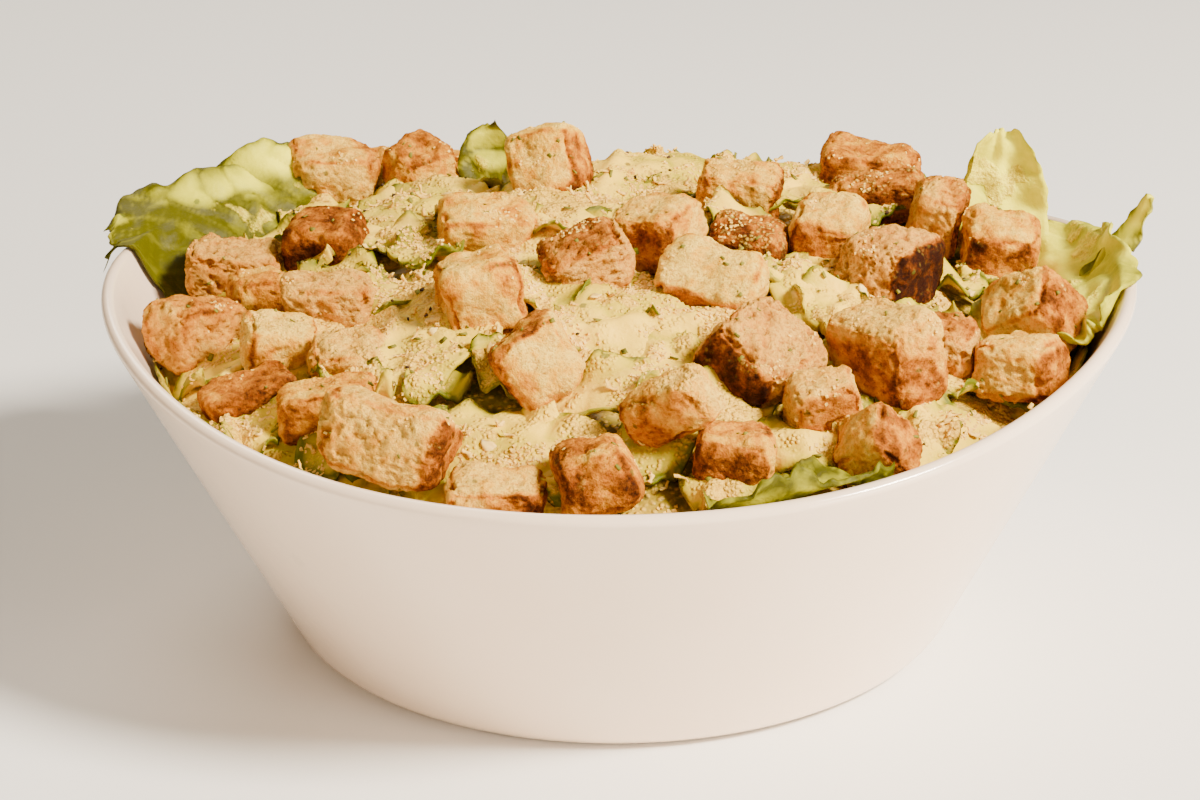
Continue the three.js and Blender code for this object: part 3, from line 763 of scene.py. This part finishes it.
def bread_relief():
    """Open crumb: pores and a rough grain pressed along the surface's own direction."""
    inputs = {
        "Geometry": "Geometry",
        "Pore Size": PORE_SIZE,
        "Pore Depth": PORE_DEPTH * MM,
        "Roughness": CRUMB_RELIEF * MM,
        "Finish": "Material",
    }
    tree, given, wanted = group_tree("bread relief", "GeometryNodeTree", inputs, {"Geometry": "Geometry"})

    def kept(name, kind="FLOAT"):
        return add("GeometryNodeInputNamedAttribute", {"Name": name}, tree, data_type=kind).outputs[0]

    grain = kept("grain", "FLOAT_VECTOR")
    pore_scale = maths("DIVIDE", 1.0, given["Pore Size"])
    wander = clouds(grain, 0.7, 2.0, output="Color")
    place = vector_maths("ADD", grain, vector_maths("MULTIPLY", wander, (2.4, 2.4, 2.4)))

    def holes(finer, share, patch_scale):
        """Pores of one size, open where a slow noise says so."""
        distance = pebbles(place, times(pore_scale, finer))["Distance"]
        opened = remap(clouds(grain, patch_scale, 2.0), share, share + 0.08)
        return times(remap(distance, 0.52, 0.3), opened)

    pits = maths("MAXIMUM", holes(1.0, 0.46, 0.23), times(holes(1.9, 0.42, 0.31), 0.6))
    open_pits = times(pits, kept("crumb"))
    granules = maths("SUBTRACT", 0.5, pebbles(place, 0.95)["Distance"])
    crumbs = maths("SUBTRACT", clouds(grain, 0.55, 4.0, 0.75), 0.5)
    grit = maths("MULTIPLY_ADD", granules, 0.4, crumbs)
    coarse = maths("MULTIPLY_ADD", kept("crumb"), 1.1, 0.35)
    raised = times(times(grit, given["Roughness"]), coarse)
    height = maths("SUBTRACT", raised, times(open_pits, given["Pore Depth"]))
    normal = tree.nodes.new("GeometryNodeInputNormal")
    offset = vector_maths("SCALE", normal, Scale=height)
    geometry = given["Geometry"]
    for label, value in (("pit", open_pits), ("grit", grit)):
        stored = {"Geometry": geometry, "Name": label, "Value": value}
        geometry = add("GeometryNodeStoreNamedAttribute", stored, data_type="FLOAT", domain="POINT")
    moved = add("GeometryNodeSetPosition", {"Geometry": geometry, "Offset": offset})
    plain = add("GeometryNodeRealizeInstances", {0: moved})
    coated = add("GeometryNodeSetMaterial", {"Geometry": plain, "Material": given["Finish"]})
    feed(wanted["Geometry"], coated)
    return tree


BREAD_RELIEF = bread_relief()
CROUTON_BOXES = [
    [np.array(corner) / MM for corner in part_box(crouton_node(number))]
    for number in range(len(CROUTONS))
]

# ---------- leaves ----------

# Place of its middle, height over the heap, length, width, heading, rise of its tip, roll, how far its ends
# and its sides curl up, height of its waves, how far it follows the heap, where its rib runs from side to
# side (beyond 1 it has none), how green and frilled it is, and how much dressing is on it.
Leaf = namedtuple("Leaf", "x y lift length width heading rise roll bend cup ruffle follow rib green cream")
LEAVES = [Leaf(*row) for row in [
    (-82, 30, 6, 62, 36, 42, -6, 42, 3, -2, 3, 0, 2.0, 0.45, 0.35),
    (-74, 46, 7, 44, 30, 30, 4, 42, -3, -2, 3, 0, 2.0, 0.5, 0.25),
    (-76, -30, 0, 60, 26, 112, 0, 14, 1, 2, 2, 0.9, 2.0, 0.45, 0.5),
    (-54, -62, 0, 42, 24, 136, 0, 14, 1, 2, 2, 0.9, 2.0, 0.5, 0.45),
    (-42, 32, 4, 38, 30, 60, 0, 8, -2, -4, 2, 1, 2.0, 0.45, 0.55),
    (-36, 68, 3, 46, 30, 24, 0, 0, -2, -3, 2, 0.9, 0.2, 0.5, 0.5),
    (-2, 50, 5, 50, 44, 84, 0, -4, -3, -4, 2, 0.9, 0.0, 0.6, 0.4),
    (8, 76, 3, 50, 26, 4, 0, 0, -2, -2, 2, 0.9, 2.0, 0.65, 0.35),
    (36, 56, 4, 44, 36, 66, 0, 6, -2, -4, 2, 0.9, -0.2, 0.55, 0.4),
    (66, 52, 0, 44, 28, 130, 0, -8, 2, 3, 2, 0.8, 2.0, 0.6, 0.4),
    (-31, 59, 6, 18, 12, 95, 65, 0, 2, 1, 1, 0, 2.0, 0.8, 0.7),
    (78, 33, 10, 34, 18, 100, 72, 0, 4, 4, 1.5, 0, 0.0, 0.1, 0.4),
    (90, 6, 6, 54, 28, -84, 0, 34, 2, 2, 3, 0, 0.1, 0.16, 0.5),
    (98, 11, 10, 34, 6, 8, 58, 50, 2, 1, 1, 0, 0.0, 0.85, 0.0),
    (78, -36, 0, 60, 24, -114, 0, 14, 1, 2, 2, 0.8, 2.0, 0.5, 0.4),
    (-38, -30, 4, 50, 36, 64, 0, -9, -2, -4, 2, 1, 0.1, 0.22, 0.72),
    (8, -34, 4, 46, 34, 18, 0, 10, -2, -4, 2, 1, 0.0, 0.35, 0.5),
    (-12, 14, 4, 48, 34, 10, 0, 8, -2, -4, 2, 1, 2.0, 0.35, 0.7),
    (50, -8, 4, 46, 36, 70, 0, 10, -2, -4, 2, 1, 0.0, 0.4, 0.5),
    (36, -83, 5, 34, 14, 22, 2, -30, -1, 2, 2, 0.3, 2.0, 1.5, 0.0),
    (-16, -70, 3, 44, 26, -14, 0, 8, -2, -3, 2, 0.9, 2.0, 0.45, 0.5),
    (60, -60, 3, 38, 22, 40, 0, 10, -2, -2, 2, 0.9, 0.3, 0.45, 0.4),
]]


def wall_floor(x, y):
    """The lowest a leaf may lie over the bowl's wall and its lip."""
    radius = np.hypot(x, y)
    rim = RIM_HEIGHT + rim_lift(np.arctan2(y, x))
    wall = (radius - inner_radius(0)) / WALL_SPREAD + LEAF_CLEARANCE * wall_slant / WALL_SPREAD
    lip = foot_radius + WALL_SPREAD * rim
    over = rim + RIM_CLEARANCE - 2.5 * np.maximum(0, radius - lip)
    return np.where(radius < lip, np.minimum(wall, rim + RIM_CLEARANCE), over)


def crouton_ceiling(x, y):
    """The highest a leaf may lie under the croutons; steep round their sides."""
    ceiling = np.full(x.shape, 1e3)
    for low, high in CROUTON_BOXES:
        across, back = (low[:2] + high[:2]) / 2
        half = (high[:2] - low[:2]) / 2
        near = np.hypot((x - across) / half[0], (y - back) / half[1])
        rise = low[2] + 1.5 + (high[2] - low[2]) * ease(0.62, 1.12, near) + 60 * np.maximum(0, near - 1.05)
        ceiling = np.minimum(ceiling, rise)
    return ceiling


def leaf_outline(leaf, number):
    """A flat leaf's grid: the shares of its length and width, the same in millimetres for the noise, how
    far along and across each point lies, and half the leaf's width there."""
    cells = [max(6, round(size / LEAF_CELL)) for size in (leaf.length, leaf.width)]
    u, v = np.meshgrid(np.linspace(-1, 1, cells[0] + 1), np.linspace(-1, 1, cells[1] + 1), indexing="ij")
    flat = np.full(u.shape, number * LEAF_STEP)
    spot = np.stack([u * leaf.length / 2, v * leaf.width / 2, flat], axis=-1)
    side = np.abs(v) ** 5
    end = np.abs(u) ** 5
    half = leaf.width / 2 * (1 - LEAF_BLUNTNESS * np.abs(u) ** 3)
    along = u * leaf.length / 2 * (1 + 0.07 * end * noise(spot, 7, 11)) + end * noise(spot, 2.6, 12)
    nicks = 0.9 * side * noise(spot, 2.4, 14) * np.sign(v)
    across = v * half * (1 + 0.12 * side * noise(spot, 6, 13)) + nicks
    return u, v, spot, along, across, half


def leaf_sheets(leaf, number):
    """A leaf before it is laid: its upper and lower points, and where it is green, veined and dressed; its
    green also holds painted shade in the creases and at the margin.
    """
    u, v, spot, along, across, half = leaf_outline(leaf, number)
    phase = chance(number) * 2 * math.pi
    height = leaf.bend * u * u + leaf.cup * v * v + leaf.ruffle * v * v * np.sin(5 * u + 2 * v + phase)
    frill = np.sin(along * 0.9 + 2 * phase) + 0.7 * np.sin(along * 1.9 + 3 * phase + v)
    height += FRILL * leaf.green * (np.abs(v) ** 5 + 0.5 * np.abs(u) ** 5) * frill
    puff = np.abs(noise(spot, BLISTER_SIZE, 15))
    blister = BLISTER_HEIGHT * (puff - 0.25) + BULGE_HEIGHT * noise(spot, BULGE_SIZE, 16)
    from_rib = np.abs(v - leaf.rib) * half
    rib = np.exp(-((from_rib / (RIB_WIDTH * (1 - RIB_TAPER * (u + 1) / 2))) ** 2))
    slant = (along - 0.9 * from_rib) / VEIN_SPACING + 0.25 * noise(spot, 9, 17)
    veins = np.maximum(0, np.cos(2 * math.pi * slant)) ** 10
    branch = (along + 0.8 * from_rib) / (VEIN_SPACING * 0.8) + 0.5 * noise(spot, 5, 18)
    veins = np.maximum(veins, 0.5 * np.maximum(0, np.cos(2 * math.pi * branch)) ** 14)
    veins *= np.exp(-from_rib / VEIN_REACH) * (1 - rib)
    pooled = ease(0.05, 0.6, rough(spot, 9, 19) + 1.7 * (leaf.cream - 0.5))
    dabs = ease(0.25, 0.6, noise(spot, 3.4, 20) + 0.9 * (leaf.cream - 0.4)) * pooled
    curds = 0.35 * ease(-0.2, 0.6, noise(spot, 1.9, 22)) + 0.3 * ease(0.0, 0.6, noise(spot, 3.6, 23))
    half_sheet = LEAF_THICKNESS / 2
    upper = height + blister + RIB_RISE * rib + 0.3 * veins + pooled * curds + 0.5 * dabs + half_sheet
    lower = height + blister - RIB_DROP * rib - 0.1 * veins - half_sheet
    margin = np.maximum(np.abs(v), np.abs(u) ** 2)
    # painted shade: deeper green in the creases between blisters
    crease_shade = 1 - ease(0.02, 0.3, puff)
    # greener towards the margin as romaine is, with a thin darker line at the very edge as painted shade
    # where the leaf dips under
    green_and_shade = 0.35 + 0.3 * margin**2 + 1.4 * margin**8 + 0.2 * noise(spot, 8, 21) + 0.5 * crease_shade
    values = {
        "green": leaf.green * green_and_shade * (1 - 0.85 * rib),
        "vein": np.clip(veins + rib, 0, 1),
        "cream": np.clip(pooled * 0.8 + dabs * 0.5 - 0.5 * margin**8, 0, 1),
    }
    return [np.stack([along, across, sheet], axis=-1) for sheet in (upper, lower)], values, spot


def leaf_shape(leaf, number):
    """Grids of points on a leaf's upper and lower face, laid in its place, with its values."""
    sheets, values, spot = leaf_sheets(leaf, number)
    foot = heap(leaf.x, leaf.y)
    middle = np.array([leaf.x, leaf.y, foot + leaf.lift])
    sheets = [sheet @ turned_by(leaf.roll, -leaf.rise, leaf.heading) + middle for sheet in sheets]
    for sheet in sheets:
        sheet[..., 2] += leaf.follow * (heap(sheet[..., 0], sheet[..., 1]) - foot)
    x, y, z = np.moveaxis((sheets[0] + sheets[1]) / 2, -1, 0)
    if leaf.follow > 0:
        radius = np.hypot(x, y)
        room = inner_radius(z) - LEAF_CLEARANCE
        share = np.where(radius > room, (room + LEAF_GIVE * (radius - room)) / radius, 1)
        for sheet in sheets:
            sheet[..., :2] *= share[..., None]
        x, y = x * share, y * share
    else:
        # painted shade: a leaf over the rim turns darker and greener towards its lower part
        values["green"] += 2.0 * leaf.green * ease(SHADE_TOP, SHADE_FOOT, z + 2 * noise(spot, 9, 24))
    values["green"] = np.clip(values["green"], 0, 1)
    pressed = np.minimum(z, crouton_ceiling(x, y)) - z
    raised = np.maximum(z + pressed, wall_floor(x, y)) - z
    for sheet in sheets:
        sheet[..., 2] += raised
    return *sheets, values


def join_sheets(upper, lower):
    """Points and faces of a closed leaf from its two grids."""
    rows, columns = upper.shape[:2]
    spots = np.arange(rows * columns).reshape(rows, columns)
    top = np.stack([spots[:-1, :-1], spots[1:, :-1], spots[1:, 1:], spots[:-1, 1:]], axis=-1).reshape(-1, 4)
    outline = np.concatenate([spots[:-1, 0], spots[-1, :-1], spots[:0:-1, -1], spots[0, :0:-1]])
    after = np.roll(outline, -1)
    shift = rows * columns
    rim = np.stack([outline, outline + shift, after + shift, after], axis=-1)
    faces = np.vstack([top, top[:, ::-1] + shift, rim])
    return np.vstack([upper.reshape(-1, 3), lower.reshape(-1, 3)]), faces


def make_leaf(number, leaf):
    """One leaf's points, faces and values."""
    upper, lower, values = leaf_shape(leaf, number)
    both = {label: np.concatenate([numbers.ravel(), numbers.ravel()]) for label, numbers in values.items()}
    return *join_sheets(upper, lower), both


def make_leaves(name, leaves, finish):
    """Several leaves as one piece; each comes with its number."""
    made = piece(name, *joined([make_leaf(*pair) for pair in leaves]), finish)
    finish_piece(made, "salad", "salad")


def small_leaves(count):
    """Torn bits of leaf spread over the heap by a rule."""
    bits = []
    for number in range(count):
        angle = number * GOLDEN_ANGLE
        radius = BITS_REACH * math.sqrt((number + 0.5) / count)
        x, y = radius * math.cos(angle), radius * math.sin(angle)
        seed = number + BITS_SEED
        lift, length, width, heading, rise, roll, bend, cup = (sway(seed + step / 10) for step in range(8))
        bits.append((seed, Leaf(
            x, y, 2.2 + 1.6 * lift, 17 + 6 * length, 12 + 4 * width, 180 * heading, 14 * rise, 16 * roll,
            1.6 * bend, 2 * cup, 1.6, 0.9, 1.8 if chance(seed + 0.8) < 0.7 else 0.0,
            0.35 + 0.5 * chance(seed + 0.9), 0.3 + 0.4 * chance(seed + 0.95),
        )))
    return bits


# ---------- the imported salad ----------


def make_core():
    """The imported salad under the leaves, closed down to the bowl's floor."""
    mean_edge = inner_radius(EDGE_HEIGHT) - CORE_GAP
    wall_foot = foot_radius - (WALL + CORE_GAP) * wall_slant
    side = rounded_corner(wall_foot, BASE + CORE_GAP, WELL_ROUND, 5)
    edge = (mean_edge, EDGE_HEIGHT)
    rings = [(0, BASE + CORE_GAP), *side, *stretch(side[-1], edge, 8)]
    rings += [(mean_edge * (1 - ring / CORE_RINGS), EDGE_HEIGHT) for ring in range(CORE_RINGS + 1)]
    points, faces = revolve(rings, CORE_SIDES)
    x, y, z = points.T
    radius = np.hypot(x, y)
    angle = np.arctan2(y, x)
    on_top = z >= EDGE_HEIGHT
    widen = np.where(on_top, (inner_radius(edge_height(angle)) - CORE_GAP) / mean_edge, 1)
    x, y = x * widen, y * widen
    spot = np.stack([x, y, np.zeros(len(x))], axis=-1)
    inward = ease(0, 6, mean_edge - radius)
    top = heap(x, y) - CORE_DEPTH + inward * (1.7 * noise(spot, 8, 31) + 0.9 * noise(spot, 3.2, 32))
    top = np.minimum(top, crouton_ceiling(x, y))
    points = np.stack([x, y, np.where(on_top, top, z)], axis=-1)
    finish_piece(piece("packed_salad", points, faces, finish=PACKED), "salad", "salad")


# ---------- what is sprinkled on ----------


def sprinkle_tree(name, bit):
    """Scatters small bits over what faces up; bit makes one of them, about 1 across, in the tree."""
    inputs = {
        "Geometry": "Geometry",
        "Density": 1000.0,
        "Smallest": "Vector",
        "Largest": "Vector",
        "Unevenness": 0.0002,
        "Lift": 0.0,
        "Patch Size": 0.02,
        "Bare Share": 0.4,
        "Smooth": True,
        "Cover": "Object",
        "Open Height": 0.009,
        "Seed": 0,
        "Finish": "Material",
    }
    tree, given, wanted = group_tree(name, "GeometryNodeTree", inputs, {"Geometry": "Geometry"})

    def drawn(low, high, seed):
        """Three numbers drawn for each bit."""
        inputs = {"Min": low, "Max": high, "Seed": seed}
        return add("FunctionNodeRandomValue", inputs, data_type="FLOAT_VECTOR")

    place = tree.nodes.new("GeometryNodeInputPosition").outputs[0]
    normal = tree.nodes.new("GeometryNodeInputNormal")
    patch = clouds(place, maths("DIVIDE", 1.0, given["Patch Size"]), 2.0)
    clothed = remap(patch, given["Bare Share"], maths("ADD", given["Bare Share"], 0.15))
    level = times(clothed, remap(axes(normal)["Z"], 0.15, 0.6))
    spread = add("GeometryNodeDistributePointsOnFaces", {
        "Mesh": given["Geometry"], "Density": times(level, given["Density"]), "Seed": given["Seed"],
    }).outputs
    cover = add("GeometryNodeObjectInfo", {"Object": given["Cover"]})
    above = add("GeometryNodeRaycast", {
        "Target Geometry": cover.outputs["Geometry"],
        "Source Position": vector_maths("MULTIPLY_ADD", spread["Normal"], (MM, MM, MM), place),
        "Ray Direction": (0.0, 0.0, 1.0),
        "Ray Length": given["Open Height"],
    }).outputs["Is Hit"]
    covered = {"Geometry": spread["Points"], "Selection": above}
    in_the_open = add("GeometryNodeDeleteGeometry", covered, domain="POINT")
    lifted = vector_maths("SCALE", spread["Normal"], Scale=given["Lift"])
    rested = add("GeometryNodeSetPosition", {"Geometry": in_the_open, "Offset": lifted})
    spin = drawn((-0.5, -0.5, -3.14), (0.5, 0.5, 3.14), given["Seed"])
    size = drawn(given["Smallest"], given["Largest"], maths("ADD", given["Seed"], 7))
    turns = {"Rotation": spread["Rotation"], "Rotate By": spin}
    turned = add("FunctionNodeRotateEuler", turns, space="LOCAL")
    bits = add("GeometryNodeInstanceOnPoints", {
        "Points": rested, "Instance": bit(tree), "Rotation": turned, "Scale": size,
    })
    plain = add("GeometryNodeRealizeInstances", {0: bits})
    wobble = clouds(place, 1500.0, 1.0, output="Color")
    centred = vector_maths("SUBTRACT", wobble, (0.5, 0.5, 0.5))
    push = vector_maths("SCALE", centred, Scale=times(given["Unevenness"], 2.0))
    uneven = add("GeometryNodeSetPosition", {"Geometry": plain, "Offset": push})
    soft = add("GeometryNodeSetShadeSmooth", {"Geometry": uneven, "Shade Smooth": given["Smooth"]})
    coated = add("GeometryNodeSetMaterial", {"Geometry": soft, "Material": given["Finish"]})
    feed(wanted["Geometry"], coated)
    return tree


def grain_bit(tree):
    return add("GeometryNodeMeshCube", {"Size": (1.0, 1.0, 1.0)}, tree)


def drop_bit(tree):
    return add("GeometryNodeMeshIcoSphere", {"Radius": 0.5, "Subdivisions": 2}, tree)


def shred_bit(tree):
    """A curled strip."""
    curl = {"Resolution": 5, "Start": (-0.5, 0, 0.1), "Middle": (0, 0.35, -0.15), "End": (0.5, -0.05, 0.3)}
    path = add("GeometryNodeCurveQuadraticBezier", curl, tree)
    section = add("GeometryNodeCurvePrimitiveQuadrilateral", {"Width": 0.26, "Height": 0.09}, tree)
    return add("GeometryNodeCurveToMesh", {"Curve": path, "Profile Curve": section, "Fill Caps": True})


def ground(*names):
    """One copy of everything that a topping can land on."""
    points, faces, count = [], [], 0
    for mesh in [bpy.data.objects[name].data for name in names]:
        spots = np.empty(len(mesh.vertices) * 3)
        mesh.vertices.foreach_get("co", spots)
        points.append(spots.reshape(-1, 3) / MM)
        faces.extend([corner + count for corner in face.vertices] for face in mesh.polygons)
        count += len(points[-1])
    return piece("ground", np.vstack(points), faces)


def sprinkle(
    name, tree, base, density, smallest, largest, finish, uneven, lift, patch, bare, seed, smooth=True
):
    """One topping as one piece: density to a square metre, in patches that leave a share bare.

    Smallest, largest, patch, lift off the ground and how uneven a bit is are millimetres.
    """
    made = placed(name, base.data.copy())
    settle(made, tree, {
        "Density": density,
        "Smallest": [side * MM for side in smallest],
        "Largest": [side * MM for side in largest],
        "Unevenness": uneven * MM,
        "Lift": lift * MM,
        "Patch Size": patch * MM,
        "Bare Share": bare,
        "Seed": seed,
        "Finish": finish,
        "Smooth": smooth,
        "Cover": cover,
    })
    finish_piece(made, "salad", "salad")


# ---------- putting it together ----------

make_bowl()
for name, numbers in CROUTON_PIECES.items():
    make_croutons(name, numbers)

numbered = list(enumerate(LEAVES, 1))
on_heap = [pair for pair in numbered if pair[1].follow > 0 and pair[1].green < RIM_GREEN]
over_rim = [pair for pair in numbered if pair not in on_heap]
make_leaves("heap_leaves", [pair for pair in on_heap if pair[1].y < 0], HEART_LEAF)
make_leaves("back_leaves", [pair for pair in on_heap if pair[1].y >= 0], HEART_LEAF)
make_leaves("rim_leaves", [pair for pair in over_rim if pair[1].x > LEFT_LEAVES], RIM_LEAF)
make_leaves("left_leaves", [pair for pair in over_rim if pair[1].x <= LEFT_LEAVES], RIM_LEAF)
make_leaves("torn_leaves", small_leaves(BITS_OF_LEAF), HEART_LEAF)
make_core()

GRAINS = sprinkle_tree("sprinkled grains", grain_bit)
DROPS = sprinkle_tree("sprinkled drops", drop_bit)
SHREDS = sprinkle_tree("sprinkled shreds", shred_bit)
leafy = ground("heap_leaves", "back_leaves", "torn_leaves", "packed_salad")
bread = ground(*CROUTON_PIECES)
cover = ground(leafy.name, bread.name, "rim_leaves", "left_leaves")

sprinkle(
    "cheese_grains", GRAINS, leafy, 1500000.0, (0.3, 0.3, 0.2), (0.9, 0.7, 0.5),
    uneven=0.3, lift=0.0, patch=11, bare=0.5, seed=3, finish=CHEESE, smooth=False,
)
sprinkle(
    "cheese_shreds", SHREDS, leafy, 30000.0, (1.4, 1.6, 2.0), (3.0, 3.0, 4.0),
    uneven=0.6, lift=0.3, patch=20, bare=0.46, seed=11, finish=CHEESE,
)
sprinkle(
    "cheese_on_bread", GRAINS, bread, 700000.0, (0.3, 0.3, 0.2), (0.7, 0.5, 0.4),
    uneven=0.2, lift=0.0, patch=9, bare=0.56, seed=5, finish=CHEESE, smooth=False,
)
sprinkle(
    "herb_flakes", GRAINS, leafy, 9000.0, (0.6, 0.4, 0.15), (2.0, 1.0, 0.3),
    uneven=0.5, lift=0.3, patch=30, bare=0.35, seed=21, finish=HERB,
)
sprinkle(
    "herbs_on_bread", GRAINS, bread, 16000.0, (0.4, 0.3, 0.12), (1.4, 0.8, 0.25),
    uneven=0.4, lift=0.1, patch=20, bare=0.4, seed=23, finish=HERB,
)
sprinkle(
    "pepper_grains", GRAINS, leafy, 5000.0, (0.3, 0.3, 0.2), (0.8, 0.7, 0.6),
    uneven=0.3, lift=0.2, patch=30, bare=0.35, seed=31, finish=PEPPER,
)
sprinkle(
    "dressing_drops", DROPS, leafy, 3000.0, (1.5, 1.0, 0.4), (4.5, 3.0, 1.0),
    uneven=0.8, lift=0.0, patch=20, bare=0.45, seed=41, finish=CREAM,
)
for used in (leafy, bread, cover):
    bpy.data.objects.remove(used)

# ---------- the studio ----------

CAMERA_AT = Vector((27.1, -521.0, 255.1)) * MM
CAMERA_LOOKS_AT = Vector((-3.8, -0.2, 43.1)) * MM
CAMERA_LENS = 83.19
CAMERA_ROLL = math.radians(-0.867)
FLOOR_SIZE = 6.0
LIGHTS_AIM_AT = Vector((0, 0, 0.06))


def make_camera():
    data = bpy.data.cameras.new("camera")
    data.lens = CAMERA_LENS
    data.sensor_width = 36
    data.clip_start = 0.01
    camera = placed("camera", data)
    forward = (CAMERA_LOOKS_AT - CAMERA_AT).normalized()
    level = forward.cross(Vector((0, 0, 1))).normalized()
    upright = level.cross(forward)
    right = level * math.cos(CAMERA_ROLL) + upright * math.sin(CAMERA_ROLL)
    up = upright * math.cos(CAMERA_ROLL) - level * math.sin(CAMERA_ROLL)
    turn = Matrix((right, up, -forward)).transposed()
    camera.matrix_world = Matrix.Translation(CAMERA_AT) @ turn.to_4x4()
    bpy.context.scene.camera = camera


def make_light(name, at, size, watts, tint):
    data = bpy.data.lights.new(name, "AREA")
    data.shape = "DISK"
    data.size = size
    data.energy = watts
    data.color = tint
    lamp = placed(name, data)
    lamp.location = at
    lamp.rotation_euler = (LIGHTS_AIM_AT - Vector(at)).to_track_quat("-Z", "Y").to_euler()


def make_floor():
    half = FLOOR_SIZE / 2 / MM
    points = np.array([(-half, -half, 0), (half, -half, 0), (half, half, 0), (-half, half, 0)])
    made, shader, _ = material("pale floor")
    shade(shader, colour("f4f3f1"), 0.7)
    floor = piece("floor", points, [(0, 1, 2, 3)], finish=made)


make_camera()
make_floor()
make_light("key", (0.8, -0.4, 0.88), 0.3, 53.0, (1.0, 0.9, 0.75))
make_light("side", (1.1, -0.8, 0.25), 0.7, 15.0, (1.0, 0.89, 0.76))
make_light("fill", (-0.8, -0.8, 0.45), 0.9, 4.2, (1.0, 0.75, 0.5))
make_light("front", (0.25, -1.2, 0.6), 0.5, 2.5, (1.0, 0.88, 0.72))
make_light("back", (-0.3, 0.8, 0.9), 0.6, 7.0, (1.0, 0.9, 0.76))
world = bpy.data.worlds.new("studio")
world.use_nodes = True
background = world.node_tree.nodes["Background"]
background.inputs["Color"].default_value = (1.0, 0.92, 0.82, 1.0)
background.inputs["Strength"].default_value = 0.1
bpy.context.scene.world = world
